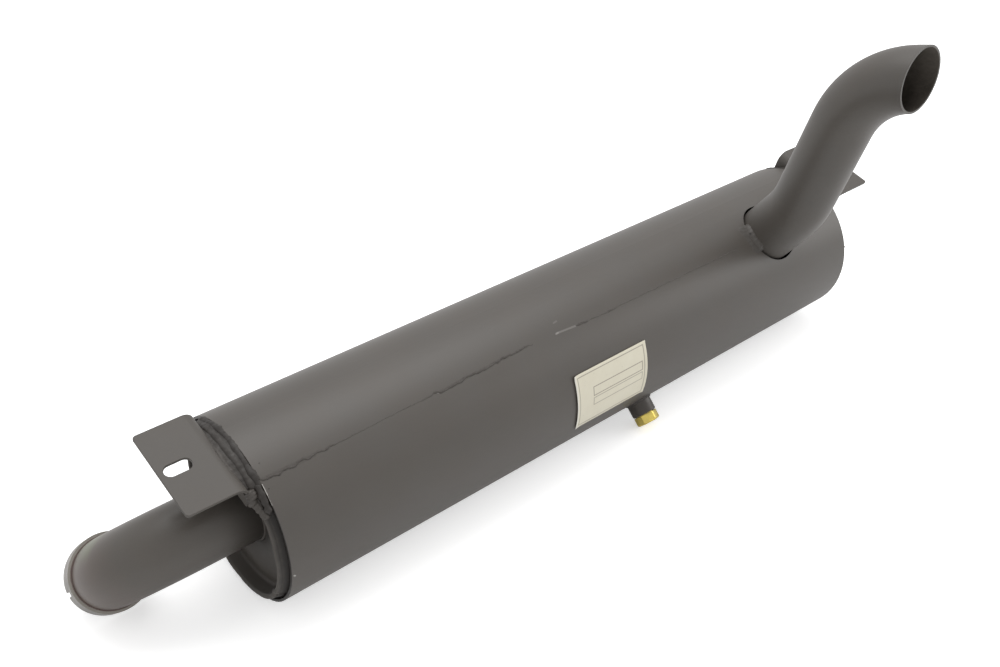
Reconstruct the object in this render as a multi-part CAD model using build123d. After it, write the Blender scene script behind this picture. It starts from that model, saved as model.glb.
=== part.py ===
from build123d import *
import math
import os

# An engine exhaust muffler with a catalytic purifier inside, in millimetres.
# It lies as it rests on a floor: +X runs along the shell from the inlet end to the outlet end,
# +Z is up, and -Y is the side with the drain plug, the data plate and the outlet mouth.
# The pieces are placed about the shell's axis, and then moved together so that the origin is
# the middle of the bottom of the whole muffler.

# Driving dimensions

shell_od = 152.4
shell_wall = 2.0
shell_length = 660.0

cap_wall = 2.0
cap_lip = 5.4         # how far the folded lip stands out past the shell's rim
cap_fold = 2.2        # outer radius of the fold along the lip's crest
cap_fold_inset = 5.3  # from the shell's inner wall in to the middle of the fold
cap_flank = 4.0       # depth inside the rim at which the lip's outer flank starts
cap_recess = 7.6      # depth of the cap's face inside the shell's rim
cap_skirt = 16.0      # length of the cap's skirt inside the shell
cap_corner = 3.0      # radius where the face turns out into the lip's inner wall

pipe_od = 55.4
pipe_wall = 1.8
slip_gap = 0.1  # radial gap of the two loose fits: collar on pipe, bung in its hole

inlet_heel = 88.0   # from the shell's rim out to the middle of the elbow's outgoing leg
inlet_bend_radius = 54.0
inlet_droop = 43.0  # degrees that the elbow points below the level, towards +Y
inlet_tail = 7.0    # straight end after the elbow, most of it inside the collar
inlet_reach = 40.0  # how far the pipe goes inside the shell

collar_wall = 2.8
collar_length = 21.0
collar_overlap = 5.0     # how much of the collar sits on the pipe
collar_socket_gap = 0.5  # radial room beyond the pipe's end, for the engine's pipe
collar_slot_width = 3.5
collar_slot_depth = 12.0
collar_slot_clock = 3.0  # degrees round the collar from +X to the first slot

outlet_from_end = 94.0  # from the outlet rim to the outlet pipe's middle
outlet_clock = 38.0     # degrees from straight up, towards -Y, at which it leaves the shell
outlet_mid_lean = 17.5  # degrees that the middle run leans from straight up, towards -Y
outlet_end_lean = 76.0  # degrees that the last run leans from straight up, towards -Y
outlet_rise = 43.5      # from the shell's surface to the first corner
outlet_climb = 144.5    # from the first corner to the second
outlet_run = 50.5       # from the second corner to the middle of the mouth
outlet_bend_radius = 85.0
outlet_reach = 22.0     # how far the pipe goes inside the shell's wall
outlet_hole_gap = 2.2   # gap between the pipe and the edge of its hole

bracket_thickness = 2.4
bracket_width = 78.0
bracket_bend_radius = 7.6  # inside the bend
bracket_drop = 22.5        # height of the leg that is welded to the end of the shell
bracket_tilt = 16.4        # degrees that the pair of brackets tilts down towards -Y
bracket_height = 75.4      # from the shell's axis to the brackets' top faces
bracket_standoff = 4.6     # between the lip's crest and the leg, filled by the weld
inlet_bracket_back = 45.4  # from the axis to its back edge, along the tilted top face
outlet_bracket_back = 48.9
bracket_corner = 3.0
inlet_bracket_length = 47.0
outlet_bracket_length = 52.0
slot_width = 10.4
slot_length = 20.6
slot_edge = 14.5           # from the bracket's free edge to the middle of the slot

bung_x = 382.0
bung_clock = 134.5  # degrees from straight up, towards -Y
bung_od = 23.0
bung_bore = 17.2
bung_height = 13.2  # above the shell's surface
bung_depth = 5.0    # below the shell's surface
bung_chamfer = 0.8

plug_across_flats = 20.0
plug_head = 8.7
plug_neck = 0.5  # thread that shows between the bung and the head
plug_shank = 10.0
plug_chamfer = 1.6

plate_x = 323.2      # middle of the data plate
plate_width = 84.5
plate_height = 55.0  # measured round the shell
plate_clock = 87.3   # degrees from straight up to its middle, towards -Y
plate_thickness = 0.5
plate_glue = 0.2     # the adhesive under it
plate_corner = 1.5

diffuser_wall = 1.5
diffuser_length = 150.0
diffuser_overlap = 18.0  # length inside the inlet pipe
diffuser_hole = 6.0
diffuser_rows = 9
diffuser_pitch = 12.0
diffuser_per_row = 8
diffuser_plain = 14.0    # blank length beyond the inlet pipe's end
end_disc_thickness = 1.5

can_x = 215.0
can_length = 124.0
can_wall = 1.5
brick_diameter = 118.0
brick_length = 100.0
mat_thickness = 4.0
mat_inset = 5.0         # the mat stops short of each end of the brick
retainer_width = 9.0
retainer_thickness = 4.0
partition_inset = 10.0  # from the can's end to its partition ring
partition_wall = 1.5
partition_flange = 12.0

baffle_wall = 1.5
baffle_flange = 12.0
front_baffle_x = 415.0
rear_baffle_x = 490.0
crossover_od = 38.0
crossover_wall = 1.5
crossover_overhang = 14.0
crossover_margin = 21.2  # from each tube to the shell's wall

weld_leg = 5.0        # leg of the fillet weld round the inlet pipe
collar_weld_leg = 1.5
weld_fullness = 0.62  # the bead's swell at 45 degrees, as a share of its leg
bung_weld_size = 3.0

bracket_weld_dip = 0.3    # the bead's top below the shell's surface, at the rim
bracket_weld_fall = 3.0   # how much lower its top is at the leg
bracket_weld_swell = 0.5  # how far its top stands above the straight line from rim to leg
bracket_weld_depth = 6.5
foot_turn = 14.0          # degrees that the bead runs on past the leg's front corner
foot_radius = 3.6         # of the round bead there
foot_inset = 4.2          # from the shell's surface in to the middle of that bead

seam_width = 2.6
seam_height = 0.45
seam_clock = 39.0  # degrees from straight up, towards -Y
seam_margin = 3.0  # bare length at the rims and round the outlet pipe's weld

outlet_weld_width = 7.0   # from the pipe outwards
outlet_weld_height = 2.8  # above the shell's surface
outlet_weld_stretches = [(146.0, 211.0), (-50.0, 62.0)]  # degrees round the pipe from +X

# Sizes worked out from the driving ones

shell_radius = shell_od / 2
shell_inner = shell_radius - shell_wall
pipe_radius = pipe_od / 2
outlet_x = shell_length - outlet_from_end
pipe_inner = pipe_radius - pipe_wall
cap_radius = shell_inner
collar_inner = pipe_radius + slip_gap
collar_socket = pipe_radius + collar_socket_gap
collar_outer = collar_inner + collar_wall
bung_radius = bung_od / 2
can_inner = brick_diameter / 2 + mat_thickness
can_outer = can_inner + can_wall
axis_height = shell_radius
crossover_spread = shell_inner - crossover_margin - crossover_od / 2

X = Vector(1, 0, 0)
Y = Vector(0, 1, 0)
Z = Vector(0, 0, 1)


def lean(degrees):
    """The direction that leans from straight up towards -Y."""
    angle = math.radians(degrees)
    return Vector(0, -math.sin(angle), math.cos(angle))


def on_axis(x):
    return Vector(x, 0, axis_height)


def rod(start, direction, length, radius):
    """A solid cylinder from a point, along a direction."""
    plane = Plane(origin=start, z_dir=direction)
    return extrude(plane * Circle(radius), amount=length)


def ring(start, direction, length, outer, inner):
    plane = Plane(origin=start, z_dir=direction)
    return extrude(plane * (Circle(outer) - Circle(inner)), amount=length)


def turned(points_and_arcs):
    """A solid turned about the shell's axis from a closed outline in (x, radius)."""
    outline = Face(Wire(points_and_arcs))
    return revolve(outline, axis=Axis.X, revolution_arc=360).moved(Location(on_axis(0)))


def tube_along(points, radii, outer, inner):
    """A bent tube: straight runs joined by tangent arcs."""
    path = FilletPolyline(*points, radius=radii)
    section = Plane(origin=path @ 0, z_dir=path % 0) * (Circle(outer) - Circle(inner))
    return sweep(section, path=path)


# The routes of the two pipes

inlet_heading = Vector(0, math.cos(math.radians(inlet_droop)), -math.sin(math.radians(inlet_droop)))
inlet_corner = on_axis(-inlet_heel)
inlet_end = inlet_corner + inlet_heading * (inlet_bend_radius + inlet_tail)
inlet_points = [on_axis(inlet_reach), inlet_corner, inlet_end]

outlet_axis = lean(outlet_clock)
outlet_root = on_axis(outlet_x) + outlet_axis * (shell_radius - outlet_reach)
outlet_corner_1 = on_axis(outlet_x) + outlet_axis * (shell_radius + outlet_rise)
outlet_corner_2 = outlet_corner_1 + lean(outlet_mid_lean) * outlet_climb
outlet_mouth = outlet_corner_2 + lean(outlet_end_lean) * outlet_run
outlet_overrun = outlet_mouth + lean(outlet_end_lean) * pipe_radius
outlet_points = [outlet_root, outlet_corner_1, outlet_corner_2, outlet_overrun]
outlet_radii = [outlet_bend_radius, outlet_bend_radius]

bung_axis = lean(bung_clock)


def make_shell():
    body = ring(on_axis(0), X, shell_length, shell_radius, shell_inner)
    outlet_hole_radius = pipe_radius + outlet_hole_gap
    outlet_hole = rod(on_axis(outlet_x), outlet_axis, shell_radius + outlet_rise, outlet_hole_radius)
    bung_hole = rod(on_axis(bung_x), bung_axis, shell_radius + bung_height, bung_radius + slip_gap)
    return body - outlet_hole - bung_hole


def touch_point(start, centre, radius):
    """Where a straight line from a point touches the outer side of a circle, in (x, radius)."""
    across, up = start[0] - centre[0], start[1] - centre[1]
    angle = math.atan2(up, across) + math.acos(radius / math.hypot(across, up))
    return (centre[0] + radius * math.cos(angle), centre[1] + radius * math.sin(angle))


fold_centre = (cap_fold - cap_lip, cap_radius - cap_fold_inset)


def make_cap(hole_radius):
    """A pressed disc: skirt, lip folded out past the rim, and a recessed face. The face looks to -X."""
    wall = cap_wall
    fold_x, fold_radius = fold_centre
    inside_fold = cap_fold - wall
    wall_radius = fold_radius - cap_fold
    inner_corner = cap_corner + wall
    turn = 1 - math.sqrt(0.5)
    a = (cap_skirt, cap_radius)
    b = (cap_flank, cap_radius)
    c = touch_point(b, fold_centre, cap_fold)
    d = (fold_x, wall_radius)
    e = (cap_recess - cap_corner, wall_radius)
    e_mid = (cap_recess - cap_corner * turn, wall_radius - cap_corner * turn)
    f = (cap_recess, wall_radius - cap_corner)
    g = (cap_recess, hole_radius)
    h = (cap_recess + wall, hole_radius)
    j = (cap_recess + wall, wall_radius - cap_corner)
    k_mid = (cap_recess + wall - inner_corner * turn, wall_radius + wall - inner_corner * turn)
    k = (cap_recess - cap_corner, wall_radius + wall)
    m = (fold_x, wall_radius + wall)
    p = (cap_flank, cap_radius - wall)
    n = touch_point(p, fold_centre, inside_fold)
    q = (cap_skirt, cap_radius - wall)
    edges = [
        Line(a, b), Line(b, c), ThreePointArc(c, (fold_x - cap_fold, fold_radius), d), Line(d, e),
        ThreePointArc(e, e_mid, f), Line(f, g), Line(g, h), Line(h, j), ThreePointArc(j, k_mid, k),
        Line(k, m), ThreePointArc(m, (fold_x - inside_fold, fold_radius), n), Line(n, p), Line(p, q),
        Line(q, a),
    ]
    return turned(edges)


def make_filled_lip():
    """The lip with the hollow under its fold filled, which a weld goes round and not into."""
    fold_x, fold_radius = fold_centre
    a = (cap_flank, cap_radius)
    b = touch_point(a, fold_centre, cap_fold)
    c = (fold_x, fold_radius - cap_fold)
    d = (cap_flank, fold_radius - cap_fold)
    return turned([
        Line(a, b), ThreePointArc(b, (fold_x - cap_fold, fold_radius), c), Line(c, d), Line(d, a),
    ])


def at_outlet_end(piece):
    """The same piece mirrored to the other end of the shell."""
    return piece.mirror(Plane(origin=on_axis(shell_length / 2), z_dir=X))


def make_inlet_pipe():
    return tube_along(inlet_points, inlet_bend_radius, pipe_radius, pipe_inner)


def make_collar():
    start = inlet_end - inlet_heading * collar_overlap
    sleeve = ring(start, inlet_heading, collar_length, collar_outer, collar_inner)
    sleeve = sleeve - rod(inlet_end, inlet_heading, collar_length, collar_socket)
    mouth = start + inlet_heading * collar_length
    slot_plane = Plane(origin=mouth, x_dir=X, z_dir=-inlet_heading)
    slot = slot_plane * Rot(0, 0, collar_slot_clock) * Box(
        4 * collar_outer, collar_slot_width, 2 * collar_slot_depth
    )
    return sleeve - slot


def make_outlet_pipe():
    """The S-bent tail pipe, with its mouth cut upright."""
    pipe = tube_along(outlet_points, outlet_radii, pipe_radius, pipe_inner)
    beyond = Box(4 * pipe_od, 4 * pipe_od, 4 * pipe_od, align=(Align.CENTER, Align.MAX, Align.CENTER))
    return pipe - beyond.moved(Location(outlet_mouth))


# Each bracket is drawn in its own tilted frame: x along the shell, y across, z out of the top face

bracket_frame = Plane(
    origin=on_axis(0) + lean(bracket_tilt) * bracket_height,
    x_dir=X,
    z_dir=lean(bracket_tilt),
)
bracket_face_x = -cap_lip - bracket_standoff


def bracket_profile(length):
    """The side outline of the angle, from the free edge round the bend to the foot of the drop."""
    x0 = bracket_face_x
    outer = bracket_bend_radius + bracket_thickness
    turn = math.sqrt(0.5)
    corner_outer = (x0 - outer * (1 - turn), -outer * (1 - turn))
    inner_x = x0 - bracket_thickness
    corner_inner = (
        inner_x - bracket_bend_radius * (1 - turn),
        -bracket_thickness - bracket_bend_radius * (1 - turn),
    )
    a = (x0 - length, 0)
    b = (x0 - outer, 0)
    c = (x0, -outer)
    d = (x0, -bracket_drop)
    e = (inner_x, -bracket_drop)
    f = (inner_x, -outer)
    g = (x0 - outer, -bracket_thickness)
    h = (x0 - length, -bracket_thickness)
    return Wire([
        Line(a, b), ThreePointArc(b, corner_outer, c), Line(c, d), Line(d, e), Line(e, f),
        ThreePointArc(f, corner_inner, g), Line(g, h), Line(h, a),
    ])


def make_bracket(length, back):
    """A bent angle, welded to the end of the shell by its leg."""
    free_edge = bracket_face_x - length
    outline = Plane.XZ * Face(bracket_profile(length))
    blank = extrude(outline, amount=bracket_width)
    front = blank.bounding_box().min.Y
    blank = blank.moved(Location((0, back - bracket_width - front, 0)))
    slot_x = free_edge + slot_edge
    slot_y = back - bracket_width / 2
    slot = extrude(Pos(slot_x, slot_y, -2 * bracket_thickness) * SlotOverall(slot_length, slot_width),
                   amount=4 * bracket_thickness)
    corners = blank.edges().filter_by(Axis.Z).group_by(Axis.X)[0]
    blank = fillet(corners, bracket_corner)
    return bracket_frame.location * (blank - slot)


def make_bracket_weld(back, bracket, cap):
    """The bead that fills the groove between the bracket's leg, the cap's lip and the shell's rim."""
    back_reach = math.degrees(math.asin(back / shell_radius))
    front_reach = math.degrees(math.asin((bracket_width - back) / shell_radius))
    reach_x = bracket_face_x - bracket_bend_radius
    top_rim = shell_radius - bracket_weld_dip
    top_leg = top_rim - bracket_weld_fall
    crest = (reach_x / 2, (top_rim + top_leg) / 2 + bracket_weld_swell)
    a, b = (0, top_rim), (reach_x, top_leg)
    c, d = (reach_x, top_leg - bracket_weld_depth), (0, top_rim - bracket_weld_depth)
    section = Face(Wire([ThreePointArc(a, crest, b), Line(b, c), Line(c, d), Line(d, a)]))
    bead = revolve(section, axis=Axis.X, revolution_arc=back_reach + front_reach)
    foot = Pos(-foot_radius, shell_radius - foot_inset) * Circle(foot_radius)
    foot = revolve(foot, axis=Axis.X, revolution_arc=back_reach + front_reach + foot_turn)
    bead = (bead + foot).rotate(Axis.X, 90 + bracket_tilt - back_reach).moved(Location(on_axis(0)))
    return bead - make_filled_lip() - behind_bracket() - bracket - cap


def behind_bracket():
    """All the space on the outer side of the bracket's leg and bend, where no weld reaches."""
    side = 4 * shell_od
    block = Box(side, side, side, align=(Align.MAX, Align.CENTER, Align.MAX))
    block = block.moved(Location((bracket_face_x, 0, 0)))
    bend = block.edges().filter_by(Axis.Y).sort_by(Axis.X)[-2:].sort_by(Axis.Z)[-1]
    return bracket_frame.location * fillet(bend, bracket_bend_radius + bracket_thickness)


def make_bung():
    """A short boss through the shell's wall."""
    root = on_axis(bung_x) + bung_axis * (shell_radius - bung_depth)
    boss = rod(root, bung_axis, bung_depth + bung_height, bung_radius)
    tip = boss.faces().sort_by(Axis(root, bung_axis))[-1]
    boss = chamfer(tip.edges(), bung_chamfer)
    return boss - rod(root - bung_axis * bung_depth, bung_axis, 4 * bung_height, bung_bore / 2)


def make_plug():
    """The brass hexagon plug that closes the bung."""
    seat = on_axis(bung_x) + bung_axis * (shell_radius + bung_height)
    shank = rod(seat + bung_axis * plug_neck, -bung_axis, plug_shank, bung_bore / 2)
    head_plane = Plane(origin=seat + bung_axis * plug_neck, x_dir=X, z_dir=bung_axis)
    corner_radius = plug_across_flats / math.sqrt(3)
    head = extrude(head_plane * RegularPolygon(corner_radius, 6), amount=plug_head)
    rounded = extrude(head_plane * Circle(corner_radius), amount=plug_head)
    top = rounded.faces().sort_by(Axis(seat, bung_axis))[-1]
    rounded = chamfer(top.edges(), plug_chamfer)
    return (head & rounded) + shank


def make_data_plate():
    """A thin plate bent round the front of the shell."""
    inner = shell_radius + plate_glue
    half_turn = math.degrees(plate_height / inner) / 2
    sleeve = ring(on_axis(plate_x - plate_width / 2), X, plate_width, inner + plate_thickness, inner)
    blank = extrude(Plane.XY * RectangleRounded(plate_width, 2 * inner * math.sin(math.radians(half_turn)),
                                                plate_corner), amount=2 * inner)
    blank = blank.rotate(Axis.X, plate_clock).moved(Location(on_axis(plate_x)))
    return sleeve & blank


def make_diffuser():
    outer = pipe_inner
    start = inlet_reach - diffuser_overlap
    tube = ring(on_axis(start), X, diffuser_length, outer, outer - diffuser_wall)
    holes = []
    for row in range(diffuser_rows):
        x = inlet_reach + diffuser_plain + row * diffuser_pitch
        for step in range(diffuser_per_row // 2):
            angle = (step + 0.5 * (row % 2)) * 360 / diffuser_per_row
            direction = lean(angle)
            holes.append(rod(on_axis(x) - direction * 2 * outer, direction, 4 * outer, diffuser_hole / 2))
    return tube - holes


def make_diffuser_end():
    outer = pipe_inner - diffuser_wall
    end = inlet_reach - diffuser_overlap + diffuser_length
    return rod(on_axis(end - end_disc_thickness), X, end_disc_thickness, outer)


def make_flanged_disc(x, wall, flange):
    """A partition across the shell: a disc with a rim turned towards +X."""
    outer = shell_inner
    return rod(on_axis(x), X, wall, outer) + ring(on_axis(x), X, flange, outer, outer - wall)


def make_partition(x):
    """The ring that carries one end of the catalyst can."""
    disc = make_flanged_disc(x, partition_wall, partition_flange)
    return disc - rod(on_axis(x - partition_wall), X, 3 * partition_wall, can_outer)


def make_can():
    return ring(on_axis(can_x), X, can_length, can_outer, can_inner)


brick_x = can_x + (can_length - brick_length) / 2


def make_brick():
    return rod(on_axis(brick_x), X, brick_length, brick_diameter / 2)


def make_mat():
    length = brick_length - 2 * mat_inset
    return ring(on_axis(brick_x + mat_inset), X, length, can_inner, brick_diameter / 2)


def make_retainer(x):
    return ring(on_axis(x), X, retainer_thickness, can_inner, can_inner - retainer_width)


crossover_places = [lean(0) * crossover_spread, lean(180) * crossover_spread]


def make_baffle(x):
    """A partition with a hole for each crossover tube."""
    baffle = make_flanged_disc(x, baffle_wall, baffle_flange)
    for place in crossover_places:
        baffle = baffle - rod(on_axis(x - baffle_wall) + place, X, 3 * baffle_wall, crossover_od / 2)
    return baffle


def make_crossover(place):
    start = on_axis(front_baffle_x - crossover_overhang) + place
    length = rear_baffle_x - front_baffle_x + baffle_wall + 2 * crossover_overhang
    return ring(start, X, length, crossover_od / 2, crossover_od / 2 - crossover_wall)


def make_fillet_ring(start, direction, radius, leg):
    """A round fillet weld in the corner between a flat face and a pipe that stands on it."""
    frame = Plane(origin=start, x_dir=X if abs(direction.X) < 0.5 else Y, z_dir=direction)
    bulge = leg * weld_fullness
    outline = Wire([Line((radius, 0), (radius + leg, 0)),
                    ThreePointArc((radius + leg, 0), (radius + bulge, bulge), (radius, leg)),
                    Line((radius, leg), (radius, 0))])
    profile = Plane.XZ * Face(outline)
    return frame.location * revolve(profile, axis=Axis.Z, revolution_arc=360)


def make_inlet_pipe_weld():
    return make_fillet_ring(on_axis(cap_recess), -X, pipe_radius, weld_leg)


def make_collar_weld():
    start = inlet_end - inlet_heading * collar_overlap
    return make_fillet_ring(start, -inlet_heading, pipe_radius, collar_weld_leg)


def make_saddle_ring(x, direction, inner, width, height):
    """A bead round a pipe where it meets the shell's curved wall."""
    sleeve = ring(on_axis(x), direction, shell_od, inner + width, inner)
    around = ring(on_axis(x - shell_radius), X, shell_od, shell_radius + height, shell_radius)
    return sleeve & around


def make_sector(x, direction, first, last):
    """A wedge round a pipe's axis, from one angle to another."""
    half = (last - first) / 2
    far = shell_od / math.cos(math.radians(half))
    corners = [(0, first), (shell_od, first), (far, first + half), (shell_od, last)]
    points = [
        (reach * math.cos(math.radians(angle)), reach * math.sin(math.radians(angle)))
        for reach, angle in corners
    ]
    plane = Plane(origin=on_axis(x), x_dir=X, z_dir=direction)
    return extrude(plane * Polygon(*points, align=None), amount=shell_od)


def make_outlet_weld():
    """The pipe's bead on the shell, which leaves two stretches of the joint open."""
    bead = make_saddle_ring(outlet_x, outlet_axis, pipe_radius, outlet_weld_width, outlet_weld_height)
    stretches = [bead & make_sector(outlet_x, outlet_axis, *ends) for ends in outlet_weld_stretches]
    return Compound(children=[solid for stretch in stretches for solid in stretch.solids()])


def make_seam_weld():
    """The flattened bead of the shell's lengthwise joint, in two stretches."""
    strip = Box(shell_length, seam_width, shell_od, align=(Align.MIN, Align.CENTER, Align.MIN))
    strip = strip.rotate(Axis.X, seam_clock).moved(Location(on_axis(0)))
    skin = ring(on_axis(seam_margin), X, shell_length - 2 * seam_margin,
                shell_radius + seam_height, shell_radius)
    clearing = pipe_radius + outlet_weld_width + seam_margin
    return (skin & strip) - rod(on_axis(outlet_x), outlet_axis, shell_od, clearing)


inlet_cap = make_cap(pipe_radius)
outlet_cap = make_cap(0)
inlet_bracket = make_bracket(inlet_bracket_length, inlet_bracket_back)
outlet_bracket = make_bracket(outlet_bracket_length, outlet_bracket_back)

parts = {
    "shell": make_shell(),
    "inlet_end_cap": inlet_cap,
    "outlet_end_cap": at_outlet_end(outlet_cap),
    "inlet_pipe": make_inlet_pipe(),
    "inlet_collar": make_collar(),
    "outlet_pipe": make_outlet_pipe(),
    "inlet_bracket": inlet_bracket,
    "outlet_bracket": at_outlet_end(outlet_bracket),
    "drain_bung": make_bung(),
    "drain_plug": make_plug(),
    "data_plate": make_data_plate(),
    "diffuser_tube": make_diffuser(),
    "diffuser_end_disc": make_diffuser_end(),
    "front_partition": make_partition(can_x + partition_inset),
    "rear_partition": make_partition(can_x + can_length - partition_inset - partition_flange),
    "catalyst_can": make_can(),
    "catalyst_mat": make_mat(),
    "catalyst_brick": make_brick(),
    "front_retainer": make_retainer(brick_x - retainer_thickness),
    "rear_retainer": make_retainer(brick_x + brick_length),
    "front_baffle": make_baffle(front_baffle_x),
    "rear_baffle": make_baffle(rear_baffle_x),
    "upper_crossover_tube": make_crossover(crossover_places[0]),
    "lower_crossover_tube": make_crossover(crossover_places[1]),
    "seam_weld": make_seam_weld(),
    "inlet_pipe_weld": make_inlet_pipe_weld(),
    "inlet_collar_weld": make_collar_weld(),
    "outlet_pipe_weld": make_outlet_weld(),
    "drain_bung_weld": make_saddle_ring(bung_x, bung_axis, bung_radius, bung_weld_size, bung_weld_size),
    "inlet_bracket_weld": make_bracket_weld(inlet_bracket_back, inlet_bracket, inlet_cap),
    "outlet_bracket_weld": at_outlet_end(
        make_bracket_weld(outlet_bracket_back, outlet_bracket, outlet_cap)
    ),
}

whole = Compound(children=[Compound(piece.solids()) for piece in parts.values()]).bounding_box()
to_origin = Location((-whole.center().X, -whole.center().Y, -whole.min.Z))

os.makedirs("parts", exist_ok=True)
for name, piece in parts.items():
    solids = [solid.moved(to_origin) for solid in piece.solids()]
    export_step(solids[0] if len(solids) == 1 else Compound(solids), f"parts/{name}.step")
print("shift to the origin:", to_origin.position)
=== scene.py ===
# %% [markdown]
# # A painted exhaust muffler in a white studio
# The solid model of the muffler is loaded as a fixed frame, and this lesson dresses it: pipes with a
# sooty bore, welded beads that ripple, a foil plate that lifts at its edge, and satin paint.
# Everything is in metres, and every new piece sits where the solid model says, so nothing is fitted.
# The frame is loaded first, and its box is kept, to see later that nothing grew past it.
# %% Load the frame
import math

import bmesh
import bpy
from mathutils import Matrix, Vector, noise


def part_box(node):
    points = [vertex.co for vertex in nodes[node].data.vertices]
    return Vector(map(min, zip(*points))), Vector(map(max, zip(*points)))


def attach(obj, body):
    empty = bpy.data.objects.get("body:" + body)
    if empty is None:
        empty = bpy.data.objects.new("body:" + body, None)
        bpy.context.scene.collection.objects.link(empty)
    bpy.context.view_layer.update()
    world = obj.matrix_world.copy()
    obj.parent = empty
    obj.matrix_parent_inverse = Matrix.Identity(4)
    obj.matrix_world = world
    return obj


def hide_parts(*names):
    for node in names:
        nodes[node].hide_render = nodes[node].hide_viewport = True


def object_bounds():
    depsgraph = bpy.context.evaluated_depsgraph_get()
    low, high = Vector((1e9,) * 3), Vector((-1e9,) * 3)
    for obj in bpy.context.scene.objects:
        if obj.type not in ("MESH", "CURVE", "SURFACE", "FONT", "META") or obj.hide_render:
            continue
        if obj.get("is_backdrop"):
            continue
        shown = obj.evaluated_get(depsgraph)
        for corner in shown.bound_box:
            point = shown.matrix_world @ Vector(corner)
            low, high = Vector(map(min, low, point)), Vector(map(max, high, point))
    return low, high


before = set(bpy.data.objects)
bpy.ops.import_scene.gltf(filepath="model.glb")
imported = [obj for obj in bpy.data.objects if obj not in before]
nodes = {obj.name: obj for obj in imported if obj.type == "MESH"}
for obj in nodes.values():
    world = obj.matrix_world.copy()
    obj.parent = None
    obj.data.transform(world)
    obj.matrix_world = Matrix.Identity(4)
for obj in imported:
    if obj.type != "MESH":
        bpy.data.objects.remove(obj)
solid_box = [list(corner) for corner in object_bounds()]
print("solid model:", len(nodes), "nodes, box", solid_box)

# %% [markdown]
# ## Where things are
# The can is a cylinder that lies along X, so a place on it is a distance from the inlet rim, a clock
# angle from straight up towards the front, and a radius. A few measured numbers from the shell's own
# box give its axis. Working in such natural numbers keeps each later step short and easy to check.
# %% Places on the can
MM = 0.001
shell_low, shell_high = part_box("shell")
rim_x = shell_low.x
far_rim_x = shell_high.x
axis_y = (shell_low.y + shell_high.y) / 2
axis_z = (shell_low.z + shell_high.z) / 2
shell_radius = (shell_high.z - shell_low.z) / 2
ALONG = Vector((1, 0, 0))
CAN_AXIS = Vector((0, axis_y, axis_z))


def lean(degrees):
    """The direction that leans from straight up towards the front."""
    angle = math.radians(degrees)
    return Vector((0, -math.sin(angle), math.cos(angle)))


def on_can(x, clock, radius):
    """A place from its distance to the inlet rim, its clock angle and its radius, all in mm."""
    return Vector((rim_x + x * MM, axis_y, axis_z)) + lean(clock) * radius * MM


CAN = shell_radius / MM
LENGTH = (far_rim_x - rim_x) / MM
print(f"can radius {CAN:.2f} mm, length {LENGTH:.1f} mm")

# %% [markdown]
# ## The camera
# The picture was taken from the inlet end, above the front, with a normal lens. The camera's place
# was found by fitting the can's rims and edges, and is given here from the can itself, so that it
# would follow if the whole model were moved. A camera could also be aimed by an empty that it
# tracks, but three numbers and two angles are easier to keep.
# %% Set the camera
CAMERA_FROM_RIM = Vector((-0.252105, -0.595873, 0.635963))
CAMERA_TILT = 56.85
CAMERA_TURN = -40.64
camera_data = bpy.data.cameras.new("studio_camera")
camera_data.lens = 39.61
camera_data.sensor_width = 36
camera_data.clip_start = 0.01
camera = bpy.data.objects.new("studio_camera", camera_data)
bpy.context.scene.collection.objects.link(camera)
camera.location = Vector((rim_x, axis_y, shell_low.z)) + CAMERA_FROM_RIM
camera.rotation_euler = (math.radians(CAMERA_TILT), 0, math.radians(CAMERA_TURN))
bpy.context.scene.camera = camera
bpy.context.scene.view_settings.view_transform = "Standard"
print("camera at", [round(v, 4) for v in camera.location])

# %% [markdown]
# ## Small helpers for nodes
# A material is a tree of nodes. Clicking them together is quick in the editor, and in a script it
# gets long, so one helper adds a node with its settings and inputs. The others are short names for
# sums, masks, colour mixes, ramps and bumps. They are used in every finish below, and the places and
# reaches that a finish is given are in metres.
# %% Node helpers


def add_node(tree, kind, inputs=None, **settings):
    """One node, with its settings and with each input set to a value or joined to an output."""
    made = tree.nodes.new(kind)
    for name, value in settings.items():
        setattr(made, name, value)
    for name, value in (inputs or {}).items():
        if isinstance(value, bpy.types.NodeSocket):
            tree.links.new(value, made.inputs[name])
        else:
            made.inputs[name].default_value = value
    return made


def calculate(tree, operation, first, second=0.0):
    return add_node(tree, "ShaderNodeMath", {0: first, 1: second}, operation=operation).outputs[0]


def fade(tree, value, low, high, start=0.0, end=1.0):
    """A mask that goes from start to end while the value goes from low to high."""
    inputs = {"Value": value, "From Min": low, "From Max": high, "To Min": start, "To Max": end}
    return add_node(tree, "ShaderNodeMapRange", inputs, clamp=True).outputs[0]


def mix_colours(tree, amount, first, second, way="MIX"):
    settings = {"data_type": "RGBA", "blend_type": way}
    return add_node(tree, "ShaderNodeMix", {0: amount, 6: first, 7: second}, **settings).outputs[2]


def cloud(tree, place, scale, detail=2.0, roughness=0.5):
    """Soft noise, whose spots are about one over scale metres wide."""
    inputs = {"Vector": place, "Scale": scale, "Detail": detail, "Roughness": roughness}
    return add_node(tree, "ShaderNodeTexNoise", inputs).outputs["Fac"]


def own_place(tree, stretch=(1, 1, 1)):
    """The point on the piece itself, which stays with the piece when it moves."""
    place = add_node(tree, "ShaderNodeTexCoord").outputs["Object"]
    return add_node(tree, "ShaderNodeMapping", {"Vector": place, "Scale": stretch}).outputs[0]


def one_axis(tree, place, axis):
    """One coordinate of a place, by its letter."""
    return add_node(tree, "ShaderNodeSeparateXYZ", {"Vector": place}).outputs[axis]


def measure(tree, operation, first, second):
    """Vector maths. A distance or a dot product comes out as a value, anything else as a vector."""
    made = add_node(tree, "ShaderNodeVectorMath", {0: first, 1: second}, operation=operation)
    return made.outputs["Value" if operation in ("DISTANCE", "DOT_PRODUCT") else "Vector"]


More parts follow.
